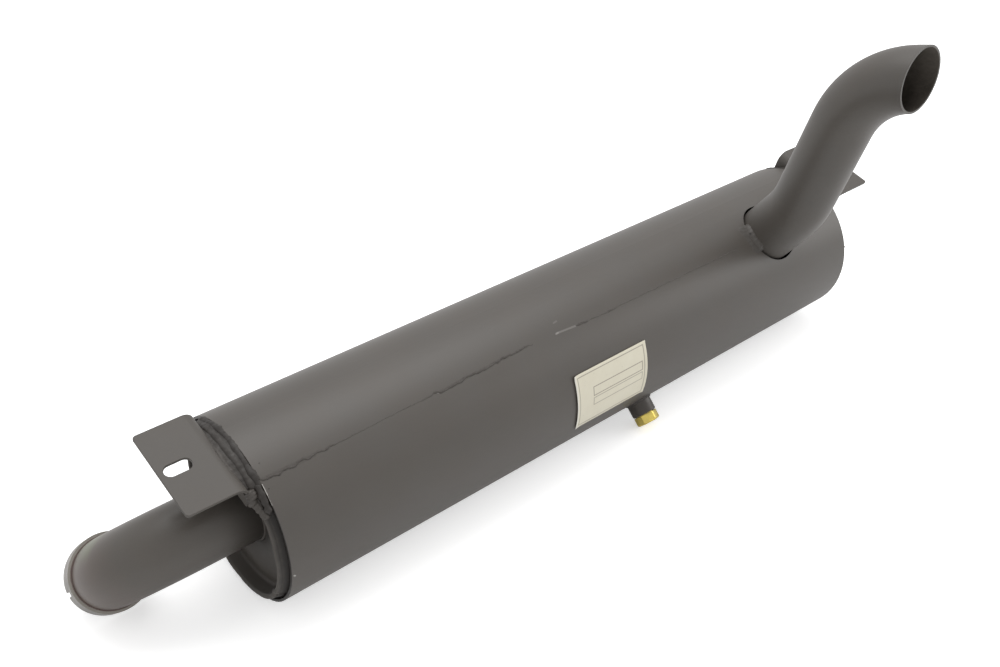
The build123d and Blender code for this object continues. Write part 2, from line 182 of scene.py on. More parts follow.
def grey_ramp(tree, value, stops):
    """A colour ramp through greys, given as (position, grey)."""
    made = add_node(tree, "ShaderNodeValToRGB", {"Fac": value})
    elements = made.color_ramp.elements
    while len(elements) < len(stops):
        elements.new(0.5)
    for element, (position, grey) in zip(elements, stops):
        element.position = position
        element.color = (grey, grey, grey, 1)
    return made.outputs["Color"]


def start_group(name, inputs, outputs):
    """A node group with named sockets, and the two ends inside it."""
    kinds = {"colour": "NodeSocketColor", "value": "NodeSocketFloat", "vector": "NodeSocketVector"}
    group = bpy.data.node_groups.new(name, "ShaderNodeTree")
    for label, (kind, usual) in inputs.items():
        socket = group.interface.new_socket(label, in_out="INPUT", socket_type=kinds[kind])
        socket.default_value = usual
    for label, kind in outputs.items():
        group.interface.new_socket(label, in_out="OUTPUT", socket_type=kinds[kind])
    given = group.nodes.new("NodeGroupInput").outputs
    wanted = group.nodes.new("NodeGroupOutput").inputs
    return group, given, wanted


def new_material(name, **constants):
    """A Principled material with its constants set on the shader's own sockets."""
    material = bpy.data.materials.new(name)
    material.use_nodes = True
    shader = material.node_tree.nodes["Principled BSDF"]
    for label, value in constants.items():
        shader.inputs[label.replace("_", " ")].default_value = value
    return material, material.node_tree, shader


def add_relief(tree, shader, height, strength, distance):
    """A bump on the shader's normal. The distance is how deep it looks, in mm."""
    made = add_node(tree, "ShaderNodeBump", {"Height": height, "Strength": strength,
                                             "Distance": distance * MM})
    tree.links.new(made.outputs[0], shader.inputs["Normal"])


def own_colour(shader):
    """What feeds the shader's colour so far, to mix something over it."""
    return shader.inputs["Base Color"].links[0].from_socket


def set_colour(tree, shader, colour):
    tree.links.new(colour, shader.inputs["Base Color"])


print("node helpers ready")

# %% [markdown]
# ## Paint that isn't quite even
# High-heat paint on a muffler is satin and nearly one colour, yet it has broad soft patches, faint
# streaks along the can, and a fine tooth. A plain colour would look like plastic, and a photo of
# paint would need a map for each piece. One group makes all three from noise at different sizes, and
# every painted piece uses it with its own numbers, so the whole object looks dipped in one tin.
# %% Group: paint film


def make_paint_film():
    inputs = {"Tone": ("colour", (0.08, 0.075, 0.07, 1)), "Patchiness": ("value", 0.12),
              "Gloss Loss": ("value", 0.5), "Tooth": ("value", 1.0)}
    outputs = {"Color": "colour", "Roughness": "value", "Height": "value"}
    group, given, wanted = start_group("paint_film", inputs, outputs)
    place = own_place(group)
    streaks = cloud(group, own_place(group, (0.12, 1, 1)), 55, 3)
    patches = cloud(group, place, 13, 3, 0.6)
    tooth = cloud(group, place, 900, 2)
    peel = cloud(group, place, 260, 1)
    uneven = calculate(group, "ADD", calculate(group, "MULTIPLY", streaks, 0.35),
                       calculate(group, "MULTIPLY", patches, 0.65))
    swing = calculate(group, "MULTIPLY", calculate(group, "SUBTRACT", uneven, 0.5), given["Patchiness"])
    grain = calculate(group, "MULTIPLY", calculate(group, "SUBTRACT", tooth, 0.5), 0.10)
    change = calculate(group, "ADD", calculate(group, "MULTIPLY", swing, 2.4), grain)
    value = calculate(group, "ADD", 1.0, change)
    shade = add_node(group, "ShaderNodeHueSaturation", {"Color": given["Tone"], "Value": value})
    warm = fade(group, cloud(group, place, 21, 2), 0.42, 0.62)
    tint = mix_colours(group, calculate(group, "MULTIPLY", warm, 0.5), shade.outputs[0], (1, 0.965, 0.93, 1),
                       "MULTIPLY")
    group.links.new(tint, wanted["Color"])
    rough = calculate(group, "ADD", given["Gloss Loss"], calculate(group, "MULTIPLY", swing, 0.6))
    group.links.new(rough, wanted["Roughness"])
    bumps = calculate(group, "ADD", calculate(group, "MULTIPLY", tooth, 0.35), peel)
    group.links.new(calculate(group, "MULTIPLY", bumps, given["Tooth"]), wanted["Height"])
    return group


paint_film = make_paint_film()
print("group", paint_film.name, "with", len(paint_film.nodes), "nodes")

# %% [markdown]
# ## Scratches at known places
# The can has a few real marks: a bright rub on the inlet rim, a scrape beside the seam, some chips,
# and brown stains along the rough parts of the seam. A texture of random scratches would put them
# anywhere, so this group measures how far a point is from a short line between two given ends, and
# breaks the line up with fine noise.
# %% Group: scratch between two points


def make_scratch_line():
    inputs = {"From": ("vector", (0, 0, 0)), "To": ("vector", (0, 0, 0)), "Width": ("value", 0.0005),
              "Ragged": ("value", 0.5)}
    group, given, wanted = start_group("scratch_line", inputs, {"Mask": "value"})
    place = own_place(group)
    run = measure(group, "SUBTRACT", given["To"], given["From"])
    offset = measure(group, "SUBTRACT", place, given["From"])
    reach = measure(group, "DOT_PRODUCT", offset, run)
    whole = measure(group, "DOT_PRODUCT", run, run)
    share = calculate(group, "DIVIDE", reach, whole)
    share = add_node(group, "ShaderNodeClamp", {"Value": share}).outputs[0]
    step = add_node(group, "ShaderNodeVectorMath", {0: run, "Scale": share}, operation="SCALE").outputs[0]
    away = measure(group, "DISTANCE", offset, step)
    near = calculate(group, "SUBTRACT", 1.0, calculate(group, "DIVIDE", away, given["Width"]))
    broken = calculate(group, "SUBTRACT", cloud(group, place, 700, 2), 0.5)
    broken = calculate(group, "MULTIPLY", calculate(group, "MULTIPLY", broken, 4.0), given["Ragged"])
    mask = fade(group, calculate(group, "ADD", near, broken), 0.05, 0.5)
    inside = fade(group, near, -0.4, 0.1)
    group.links.new(calculate(group, "MULTIPLY", mask, inside), wanted["Mask"])
    return group


scratch_line = make_scratch_line()
print("group", scratch_line.name, "with", len(scratch_line.nodes), "nodes")

# %% [markdown]
# ## The crust of a weld
# A weld under paint has ridges, hollows and specks of spatter. The group gives colour, roughness and
# height from one field of cells and one of noise, and paints the low places darker, as painted shade
# in the hollows, so that the dark places are also the deep ones.
# %% Group: weld crust


def make_weld_crust():
    inputs = {"Tone": ("colour", (0.07, 0.065, 0.06, 1)), "Hollow": ("colour", (0.02, 0.017, 0.015, 1)),
              "Size": ("value", 330.0), "Darkness": ("value", 0.5)}
    outputs = {"Color": "colour", "Roughness": "value", "Height": "value"}
    group, given, wanted = start_group("weld_crust", inputs, outputs)
    place = own_place(group)
    lumps = cloud(group, place, given["Size"], 3, 0.6)
    # Painted shade: the low places of the noise are mixed towards the hollow colour.
    low = fade(group, lumps, 0.62, 0.36)
    depth = calculate(group, "MULTIPLY", low, given["Darkness"])
    base = mix_colours(group, depth, given["Tone"], given["Hollow"])
    cells = add_node(group, "ShaderNodeTexVoronoi", {"Vector": place, "Scale": 520.0}).outputs["Distance"]
    speck = fade(group, cells, 0.16, 0.08, 0.0, 0.35)
    colour = mix_colours(group, speck, base, (0.12, 0.105, 0.09, 1))
    group.links.new(colour, wanted["Color"])
    group.links.new(fade(group, lumps, 0.3, 0.7, 0.7, 0.45), wanted["Roughness"])
    raised = calculate(group, "ADD", lumps, calculate(group, "MULTIPLY", speck, 0.5))
    group.links.new(raised, wanted["Height"])
    return group


weld_crust = make_weld_crust()
print("group", weld_crust.name, "with", len(weld_crust.nodes), "nodes")

# %% [markdown]
# ## Painted finishes
# The shell, the pipes, the caps and the brackets share the paint, in slightly different tones: the
# tail pipe is a shade lighter than the can, the brackets are a shade darker and duller, and the elbow
# has a warmer cast where it gets hot. One material with a mask for each piece would be hard to read,
# so a function makes each painted material from the group.
# %% Paint for the pipes, caps and brackets


def painted(name, tone, patchiness=0.12, gloss_loss=0.5, bump=0.05):
    """A satin painted material. Tone is the paint's own colour in linear values."""
    material, tree, shader = new_material(name, Specular_IOR_Level=0.5)
    film = add_node(tree, "ShaderNodeGroup", {"Tone": (*tone, 1), "Patchiness": patchiness,
                                              "Gloss Loss": gloss_loss}, node_tree=paint_film)
    set_colour(tree, shader, film.outputs["Color"])
    tree.links.new(film.outputs["Roughness"], shader.inputs["Roughness"])
    add_relief(tree, shader, film.outputs["Height"], bump, 0.4)
    return material, tree, shader


CAN_TONE = (0.064, 0.057, 0.050)
bracket_paint = painted("bracket_paint", (0.060, 0.053, 0.046), 0.07, 0.55, 0.05)[0]
outlet_paint = painted("outlet_paint", (0.066, 0.059, 0.052), 0.10, 0.46, 0.07)[0]
print("painted finishes:", bracket_paint.name, outlet_paint.name)

# %% [markdown]
# The cap's paint is patchier than the rest, and darker, as painted shade in its recess. The narrow
# groove between its folded lip and the shell's rim is painted near black all the way round, as painted
# shade. The groove is found by distance from the can's axis, which needs no map and fits both ends. A
# scale of nought along X is what makes it a distance from a line.
# %% Cap paint with a dark groove
SHADE_BLACK = (0.010, 0.008, 0.007, 1)
GROOVE_REACH = (0.0708, 0.0722)


def make_shaded_cap_paint():
    # Painted shade: the cap's darker tone stands for the shade in its recess.
    material, tree, shader = painted("shaded_cap_paint", (0.050, 0.043, 0.036), 0.16, 0.62, 0.10)
    reach = measure(tree, "DISTANCE", own_place(tree, (0, 1, 1)), CAN_AXIS)
    ragged = calculate(tree, "MULTIPLY", cloud(tree, own_place(tree), 160, 3), 0.0014)
    # Painted shade: the groove and the flank beside the rim are mixed to near black.
    groove_shade = fade(tree, calculate(tree, "ADD", reach, ragged), *GROOVE_REACH, 0.0, 0.86)
    set_colour(tree, shader, mix_colours(tree, groove_shade, own_colour(shader), SHADE_BLACK))
    return material


shaded_cap_paint = make_shaded_cap_paint()
print("cap paint, dark from", GROOVE_REACH[0], "m off the axis")

# %% [markdown]
# ## The shell's own finish
# The shell adds four things to the paint: painted shade that makes the cut rims almost black, brown
# stains beside the rough parts of the seam, the rub on the inlet rim, and the scrape and chips near the
# seam. Each is a mask, mixed over the paint one after the other, with the brightest last. Under the
# brackets' welds the rims aren't bare, so their mask ends there, by height towards the middle of
# those welds. Each mark is a start, an end, a width in metres, how ragged it is and how strong.
# %% Shell paint with its marks
WELD_MIDDLE = 9.2
CUT_EDGE = 0.00015
CUT_FADE = 0.0006
BARE_HEIGHT = (0.0520, 0.0600)
BURN_AND_SHADE = (0.020, 0.014, 0.010, 1)
RUBBED = (0.55, 0.53, 0.50, 1)
MARKS = {
    "rim_rub_upper": (on_can(0.0, 41.2, CAN), on_can(-0.1, 47.2, CAN), 0.0007, 0.30, 0.62),
    "rim_rub_lower": (on_can(-0.1, 47.2, CAN), on_can(0.0, 53.0, CAN), 0.0005, 0.50, 0.35),
    "seam_scrape": (on_can(281.5, 37.4, CAN), on_can(302.0, 38.4, CAN), 0.0011, 0.12, 0.13),
    "seam_scrape_end": (on_can(280.6, 37.7, CAN), on_can(283.2, 37.4, CAN), 0.0010, 0.10, 0.16),
    "shoulder_chip": (on_can(284.8, 30.6, CAN), on_can(288.4, 30.2, CAN), 0.0010, 0.10, 0.08),
    "seam_chip": (on_can(156.0, 38.2, CAN), on_can(157.2, 38.5, CAN), 0.0007, 0.10, 0.35),
    "low_chip": (on_can(2.0, 99.0, CAN), on_can(3.0, 99.8, CAN), 0.0008, 0.10, 0.6),
}
STAINS = {
    "seam_start": (on_can(0.5, 38.8, CAN), on_can(44.0, 39.2, CAN), 0.0022, 0.30, 0.26),
    "seam_middle": (on_can(158.0, 38.2, CAN), on_can(204.0, 37.3, CAN), 0.0016, 0.35, 0.20),
    "seam_stop": (on_can(204.0, 37.3, CAN), on_can(250.0, 36.8, CAN), 0.0015, 0.35, 0.16),
}


def make_shell_paint():
    material, tree, shader = painted("shell_paint", CAN_TONE, 0.12, 0.46, 0.05)
    colour = own_colour(shader)
    along = one_axis(tree, own_place(tree), "X")
    near_end = fade(tree, along, rim_x + CUT_EDGE, rim_x + CUT_FADE, 1.0, 0.0)
    far_end = fade(tree, along, far_rim_x - CUT_FADE, far_rim_x - CUT_EDGE)
    offset = measure(tree, "SUBTRACT", own_place(tree), CAN_AXIS)
    height = measure(tree, "DOT_PRODUCT", offset, lean(WELD_MIDDLE))
    bare = fade(tree, height, *BARE_HEIGHT, 1.0, 0.0)
    # Painted shade: the rims' cut end faces are painted almost black.
    rim_shade = calculate(tree, "MULTIPLY", calculate(tree, "MAXIMUM", near_end, far_end), bare)
    colour = mix_colours(tree, calculate(tree, "MULTIPLY", rim_shade, 0.85), colour, (0.012, 0.010, 0.009, 1))
    for marks, tone in ((STAINS, BURN_AND_SHADE), (MARKS, RUBBED)):
        for start, end, width, ragged, strength in marks.values():
            line = add_node(tree, "ShaderNodeGroup", {"From": start, "To": end, "Width": width,
                                                      "Ragged": ragged}, node_tree=scratch_line)
            amount = calculate(tree, "MULTIPLY", line.outputs["Mask"], strength)
            colour = mix_colours(tree, amount, colour, tone)
    set_colour(tree, shader, colour)
    return material


shell_paint = make_shell_paint()
print("shell paint with", len(MARKS), "marks and", len(STAINS), "stains")

# %% [markdown]
# ## The elbow's paint
# Beside the collar the elbow's paint has a faint pink-brown cast, from heat. The cast is a soft mask
# on the distance from the collar, worked out from the piece's own place and broken up by noise, so
# it has no hard edge. One spot on top is lighter and a little green, a green tint with a painted
# highlight, found by its own distance mask, and painted shade darkens the pipe where it enters the
# cap's recess.
# %% Elbow paint with a warm end
collar_low, collar_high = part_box("inlet_collar")
collar_middle = (collar_low + collar_high) / 2
GREEN_HIGHLIGHT_SPOT = on_can(-95.9, -98.5, 45.5)
WARM_REACH = (0.080, 0.040)
GREEN_HIGHLIGHT_REACH = (0.030, 0.010)
RECESS_START = rim_x - 0.020
RECESS_DARKEST = rim_x + 0.006


def make_elbow_paint():
    material, tree, shader = painted("elbow_paint", (0.074, 0.066, 0.058), 0.14, 0.42, 0.07)
    place = own_place(tree)
    ragged = calculate(tree, "MULTIPLY", cloud(tree, place, 60, 2), 0.02)
    away = calculate(tree, "ADD", measure(tree, "DISTANCE", place, collar_middle), ragged)
    warm = fade(tree, away, *WARM_REACH, 0.0, 0.7)
    colour = mix_colours(tree, warm, own_colour(shader), (0.098, 0.068, 0.056, 1))
    # Painted shade: the pipe darkens where it enters the cap's recess.
    recess_shade = fade(tree, one_axis(tree, place, "X"), RECESS_START, RECESS_DARKEST, 0.0, 0.65)
    colour = mix_colours(tree, recess_shade, colour, (0.018, 0.015, 0.013, 1))
    # Painted highlight with a green tint: one spot on top is mixed lighter and greener.
    off = calculate(tree, "ADD", measure(tree, "DISTANCE", place, GREEN_HIGHLIGHT_SPOT), ragged)
    green_sheen = fade(tree, off, *GREEN_HIGHLIGHT_REACH, 0.0, 0.75)
    set_colour(tree, shader, mix_colours(tree, green_sheen, colour, (0.120, 0.140, 0.080, 1)))
    return material


elbow_paint = make_elbow_paint()
print("elbow paint, warm round", [round(v, 3) for v in collar_middle])

# %% [markdown]
# ## Weld finishes
# The beads are painted too, but the crust shows through. The same group gives all the finishes. The
# weld at the brackets was laid in several runs, and painted shade darkens the valleys between them, so
# its colour goes in bands along the can. They could be painted on a map, but a colour ramp on the
# distance past the nearer rim does it for both ends. The bands are listed in mm. The tail pipe's weld
# has one pit, where the arc stopped, and painted shade makes it a dark spot.
# %% Weld materials


def welded(name, tone, size, darkness, bump):
    material, tree, shader = new_material(name, Specular_IOR_Level=0.45)
    crust = add_node(tree, "ShaderNodeGroup", {"Tone": (*tone, 1), "Size": size, "Darkness": darkness},
                     node_tree=weld_crust)
    set_colour(tree, shader, crust.outputs["Color"])
    tree.links.new(crust.outputs["Roughness"], shader.inputs["Roughness"])
    add_relief(tree, shader, crust.outputs["Height"], bump, 0.8)
    return material, tree, shader


BAND_REACH = 18.0
WELD_SHADE_BANDS = [(0.0, 0.62), (1.6, 0.88), (4.4, 0.90), (6.0, 0.62), (7.4, 0.66), (9.2, 0.82), (11.2, 0.50),
              (13.0, 0.15), (14.8, 0.28), (18.0, 0.1)]


def add_shade_bands(tree, colour, place, dark):
    """Darkens a colour in bands of painted shade, by how far beyond the nearer rim a point is."""
    along = one_axis(tree, place, "X")
    off = calculate(tree, "ABSOLUTE", calculate(tree, "SUBTRACT", along, (rim_x + far_rim_x) / 2))
    ragged = calculate(tree, "MULTIPLY", calculate(tree, "SUBTRACT", cloud(tree, place, 150, 3), 0.5), 0.005)
    beyond = calculate(tree, "ADD", calculate(tree, "SUBTRACT", off, (far_rim_x - rim_x) / 2), ragged)
    amount = grey_ramp(tree, fade(tree, beyond, 0.0, BAND_REACH * MM),
                       [(x / BAND_REACH, grey) for x, grey in WELD_SHADE_BANDS])
    return mix_colours(tree, amount, colour, dark)


def make_bracket_weld_finish():
    material, tree, shader = welded("bracket_weld_finish", (0.052, 0.044, 0.037), 240, 0.45, 0.25)
    # Painted shade: the valleys between the runs are darkened in bands.
    set_colour(tree, shader, add_shade_bands(tree, own_colour(shader), own_place(tree), (0.011, 0.008, 0.006, 1)))
    return material


WELD_PIT = on_can(536.0, 34.4, 79.0)
PIT_REACH = (0.0013, 0.0006)


def make_pipe_weld_finish():
    material, tree, shader = welded("pipe_weld_finish", (0.050, 0.044, 0.038), 330, 0.12, 0.12)
    # Painted shade: the pit where the arc stopped is a near-black spot.
    pit_shade = fade(tree, measure(tree, "DISTANCE", own_place(tree), WELD_PIT), *PIT_REACH, 0.0, 0.9)
    set_colour(tree, shader, mix_colours(tree, pit_shade, own_colour(shader), SHADE_BLACK))
    return material


bracket_weld_finish = make_bracket_weld_finish()
foot_finish = welded("foot_finish", (0.051, 0.044, 0.038), 200, 0.25, 0.1)[0]
collar_weld_finish = welded("collar_weld_finish", (0.120, 0.088, 0.078), 300, 0.1, 0.1)[0]
pipe_weld_finish = make_pipe_weld_finish()
bung_weld_finish = welded("bung_weld_finish", (0.036, 0.030, 0.026), 380, 0.6, 0.3)[0]
print("five weld finishes")

# %% [markdown]
# The seam is darkened along its length, partly by burn and partly as painted shade of its undercut:
# strong at the inlet end, faint further on, strong again from a quarter of the way, and faint beside
# the scrape and after it, but for two short dark spots. A colour ramp on the distance along the can
# sets it, which is shorter than painting a map.
# %% Seam finish
SEAM_BURN_AND_SHADE = [(0, 0.72), (30, 0.65), (58, 0.42), (90, 0.14), (140, 0.20), (160, 0.62), (215, 0.60),
                 (248, 0.50), (256, 0.06), (300, 0.06), (306, 0.70), (312, 0.66), (317, 0.06), (338, 0.06),
                 (341, 0.60), (346, 0.55), (350, 0.06), (440, 0.12), (470, 0.34), (513, 0.28), (600, 0.1),
                 (655, 0.2)]


def make_seam_finish():
    material, tree, shader = welded("seam_finish", CAN_TONE, 420, 0.2, 0.2)
    place = own_place(tree)
    share = fade(tree, one_axis(tree, place, "X"), rim_x, far_rim_x)
    # Burn and painted shade of the undercut: the ramp mixes the seam towards brown.
    darkness = grey_ramp(tree, share, [(x / LENGTH, grey) for x, grey in SEAM_BURN_AND_SHADE])
    uneven = fade(tree, cloud(tree, place, 130, 3, 0.7), 0.3, 0.62, 0.35, 1.0)
    amount = calculate(tree, "MULTIPLY", darkness, uneven)
    set_colour(tree, shader, mix_colours(tree, amount, own_colour(shader), BURN_AND_SHADE))
    return material


seam_finish = make_seam_finish()
print("seam finish with", len(SEAM_BURN_AND_SHADE), "stops")

# %% [markdown]
# ## Bare and unpainted finishes
# The drain boss is dark phosphated steel, its plug is brass, the bore of the tail pipe is
# brown-black with soot, and the pieces inside are dull stainless. One function makes them all:
# colour and gloss wander together through one noise, because a stain dulls a metal too.
# %% Boss, brass, soot and inner steel
FINE_GRAIN = 14


def metal(name, tone, second, scale, metallic, rough_low, rough_high, bump):
    """A metal whose colour wanders between two tones and whose gloss wanders with it."""
    material, tree, shader = new_material(name, Metallic=metallic)
    place = own_place(tree)
    patches = cloud(tree, place, scale, 4, 0.6)
    colour = mix_colours(tree, fade(tree, patches, 0.35, 0.65), (*tone, 1), (*second, 1))
    set_colour(tree, shader, colour)
    tree.links.new(fade(tree, patches, 0.3, 0.7, rough_low, rough_high), shader.inputs["Roughness"])
    add_relief(tree, shader, cloud(tree, place, scale * FINE_GRAIN, 2), bump, 0.3)
    return material, tree, shader


bung_finish = metal("bung_finish", (0.040, 0.034, 0.029), (0.054, 0.046, 0.039), 90,
                    0.2, 0.40, 0.55, 0.15)[0]
brass_finish = metal("brass_finish", (0.66, 0.52, 0.13), (0.50, 0.40, 0.12), 160, 1.0, 0.22, 0.42, 0.2)[0]
soot = metal("soot", (0.055, 0.047, 0.037), (0.085, 0.073, 0.060), 70, 0.0, 0.7, 0.9, 0.5)[0]
inner_steel = metal("inner_steel_finish", (0.33, 0.31, 0.29), (0.22, 0.18, 0.15), 40, 0.85, 0.3, 0.5, 0.1)[0]
print("metals:", [m.name for m in (bung_finish, brass_finish, soot, inner_steel)])

# %% [markdown]
# The collar is bare coated steel, lighter than the paint, and its colour is mixed once more through
# noise with a lighter green, a green tint with painted sheen. Its end face beside the elbow is painted
# lighter, as painted light, and the mask for that is the distance along the collar's own axis. The
# elbow's heading is named here too, since the collar and the elbow's route both need it.
# %% Collar finish
ELBOW_DROOP = 43.0
elbow_heading = Vector((0, math.cos(math.radians(ELBOW_DROOP)), -math.sin(math.radians(ELBOW_DROOP))))
COLLAR_LENGTH = 21.0


def make_collar_finish():
    material, tree, shader = metal("collar_finish", (0.185, 0.170, 0.155), (0.150, 0.136, 0.124), 45,
                                   0.25, 0.36, 0.52, 0.12)
    place = own_place(tree)
    # Green tint with painted sheen: lighter green patches through noise.
    green_sheen = fade(tree, cloud(tree, place, 60, 2), 0.5, 0.7, 0.0, 0.5)
    colour = mix_colours(tree, green_sheen, own_colour(shader), (0.250, 0.250, 0.215, 1))
    past = measure(tree, "DOT_PRODUCT", measure(tree, "SUBTRACT", place, collar_middle), elbow_heading)
    start = -COLLAR_LENGTH / 2 * MM
    # Painted light: the collar's end face beside the elbow is mixed lighter.
    lit_end_face = fade(tree, past, start + 0.0009, start + 0.0004, 0.0, 0.85)
    set_colour(tree, shader, mix_colours(tree, lit_end_face, colour, (0.28, 0.262, 0.232, 1)))
    return material


collar_finish = make_collar_finish()
print("collar finish for a collar", COLLAR_LENGTH, "mm long")

# %% [markdown]
# ## Finishes inside the can
# The catalyst is a ceramic brick with fine square cells, wrapped in a grey fibre mat. Nobody sees it
# here, but a cut-away view or an opened model would, so each gets a finish: a grid from two
# folded-up coordinates for the cells, and stretched noise for the fibres.
# %% Ceramic and fibre mat
CELL = 1.3


def make_ceramic():
    material, tree, shader = new_material("ceramic_cells", Roughness=0.85)
    place = own_place(tree)
    across = calculate(tree, "PINGPONG", one_axis(tree, place, "Y"), CELL / 2 * MM)
    upward = calculate(tree, "PINGPONG", one_axis(tree, place, "Z"), CELL / 2 * MM)
    cell = fade(tree, calculate(tree, "MINIMUM", across, upward), 0.00008, 0.00014)
    set_colour(tree, shader, mix_colours(tree, cell, (0.60, 0.54, 0.44, 1), (0.10, 0.085, 0.065, 1)))
    add_relief(tree, shader, calculate(tree, "SUBTRACT", 1.0, cell), 0.6, 0.4)
    return material


def make_fibre():
    material, tree, shader = new_material("fibre_mat", Roughness=0.95)
    strands = cloud(tree, own_place(tree, (0.2, 1, 1)), 800, 4, 0.7)
    flecks = cloud(tree, own_place(tree), 300, 2)
    colour = mix_colours(tree, strands, (0.30, 0.29, 0.27, 1), (0.62, 0.60, 0.56, 1))
    colour = mix_colours(tree, fade(tree, flecks, 0.62, 0.72, 0.0, 0.6), colour, (0.42, 0.33, 0.12, 1))
    set_colour(tree, shader, colour)
    add_relief(tree, shader, strands, 0.7, 0.8)
    return material


ceramic = make_ceramic()
fibre = make_fibre()
print("inner finishes:", ceramic.name, fibre.name)

# %% [markdown]
# ## Giving the solid model its finishes
# A node of the solid model keeps its mesh, and only its material slot changes. The table says which
# finish each kept node wears. Pieces that get a better shape below replace their node instead.
# %% Dress the nodes that stay
KEPT = {
    "shell": shell_paint,
    "diffuser_tube": inner_steel, "diffuser_end_disc": inner_steel, "front_partition": inner_steel,
    "rear_partition": inner_steel, "catalyst_can": inner_steel, "front_retainer": inner_steel,
    "rear_retainer": inner_steel, "front_baffle": inner_steel, "rear_baffle": inner_steel,
    "upper_crossover_tube": inner_steel, "lower_crossover_tube": inner_steel,
    "catalyst_mat": fibre, "catalyst_brick": ceramic,
}


def wear(node, material):
    """Puts one material in the only slot of a node."""
    if not node.material_slots:
        node.data.materials.append(material)
    node.material_slots[0].material = material


for name, material in KEPT.items():
    wear(nodes[name], material)
print("dressed", len(KEPT), "nodes of the solid model")

# %% [markdown]
# ## Finishing a new piece
# Each new piece starts in a bmesh. The main helper writes it to an object at the origin, with the
# place in its mesh, smooth faces and sharp creases, hangs it under the empty of the body that carries
# it, and hides the nodes it stands for. The small ones sort what an operator gives back, and mirror a
# piece to the far rim, since both ends of the can are alike.
# %% Helpers: from bmesh to piece


def only_verts(geometry):
    return [g for g in geometry if isinstance(g, bmesh.types.BMVert)]


def only_edges(geometry):
    return [g for g in geometry if isinstance(g, bmesh.types.BMEdge)]


def only_faces(geometry):
    return [g for g in geometry if isinstance(g, bmesh.types.BMFace)]


def turn_outwards(bm):
    bmesh.ops.recalc_face_normals(bm, faces=bm.faces)


def mirror_to_far_rim(bm):
    bmesh.ops.scale(bm, verts=bm.verts, vec=(-1, 1, 1))
    bmesh.ops.translate(bm, verts=bm.verts, vec=(rim_x + far_rim_x, 0, 0))


def stand_up(heading):
    """The turn that takes straight up to a heading."""
    return Vector((0, 0, 1)).rotation_difference(heading).to_matrix().to_4x4()


def make_piece(name, bm, materials, stands_for=(), crease=40):
    mesh = bpy.data.meshes.new(name)
    bm.to_mesh(mesh)
    bm.free()
    for material in materials:
        mesh.materials.append(material)
    mesh.polygons.foreach_set("use_smooth", [True] * len(mesh.polygons))
    mesh.set_sharp_from_angle(angle=math.radians(crease))
    piece = bpy.data.objects.new(name, mesh)
    bpy.context.scene.collection.objects.link(piece)
    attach(piece, "root")
    if stands_for:
        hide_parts(*stands_for)
    print(f"{name}: {len(mesh.polygons)} faces")
    return piece


def soften(piece, width, segments=2):
    """A small bevel on the sharp edges, which is what catches the light on a real part."""
    bevel = piece.modifiers.new("soft_edges", "BEVEL")
    bevel.width = width * MM
    bevel.segments = segments
    bevel.limit_method = "ANGLE"
    bevel.angle_limit = math.radians(40)
    bevel.harden_normals = True


# %% [markdown]
# ## Bent pipes
# A tube bender makes straight runs joined by arcs of one radius. Blender could bend a cylinder
# with a curve modifier, or skin a path, but the arc would only be close. Here a ring of points is
# carried along each run and spun through each bend about the bend's own centre, which is exactly
# what the machine does. The bore is a second skin, one wall further in, and each end is filled flat.
# %% Helper: spin a pipe through its bends


def carry_ring(bm, edges, step):
    """Extrudes a ring of edges by one straight step and returns the new ring."""
    made = bmesh.ops.extrude_edge_only(bm, edges=edges)["geom"]
    bmesh.ops.translate(bm, verts=only_verts(made), vec=step)
    return [e for e in only_edges(made) if e.is_boundary]


def bent_skin(bm, start, heading, runs, bends, bend_radius, radius):
    """Adds one skin of a pipe: runs in mm, and bends as (axis, degrees). Returns its end."""
    ring_verts = bmesh.ops.create_circle(bm, segments=96, radius=radius * MM)["verts"]
    bmesh.ops.transform(bm, matrix=Matrix.Translation(start) @ stand_up(heading), verts=ring_verts)
    ring, place = list({e for v in ring_verts for e in v.link_edges}), start.copy()
    for run, bend in zip(runs, bends + [None]):
        ring = carry_ring(bm, ring, heading * run * MM)
        place = place + heading * run * MM
        if bend is None:
            break
        axis, degrees = bend
        centre = place + axis.cross(heading) * bend_radius * MM
        turned = bmesh.ops.spin(bm, geom=ring, cent=centre, axis=axis, angle=math.radians(degrees),
                                steps=math.ceil(degrees / 3), use_merge=False, use_duplicate=False)
        turn = Matrix.Rotation(math.radians(degrees), 3, axis)
        place = centre + turn @ (place - centre)
        heading = turn @ heading
        ring = only_edges(turned["geom_last"])
    return place


def bent_pipe(wall, *route):
    """A pipe's outer skin and its bore, both still open at the ends. The bore is material 1."""
    bm = bmesh.new()
    end = bent_skin(bm, *route)
    outer = set(bm.faces)
    bent_skin(bm, *route[:-1], route[-1] - wall)
    for face in bm.faces:
        face.material_index = 0 if face in outer else 1
    return bm, end


def join_ends(bm, middle):
    """Fills the flat ring between both skins at each end, which lie either side of a middle place."""
    open_edges = [e for e in bm.edges if e.is_boundary]
    for is_first in (True, False):
        one_end = [e for e in open_edges if (middle(e.verts[0].co) < 0) == is_first]
        made = bmesh.ops.triangle_fill(bm, edges=one_end, use_beauty=True)["geom"]
        for face in only_faces(made):
            face.material_index = 0
    turn_outwards(bm)


print("pipe helpers ready")

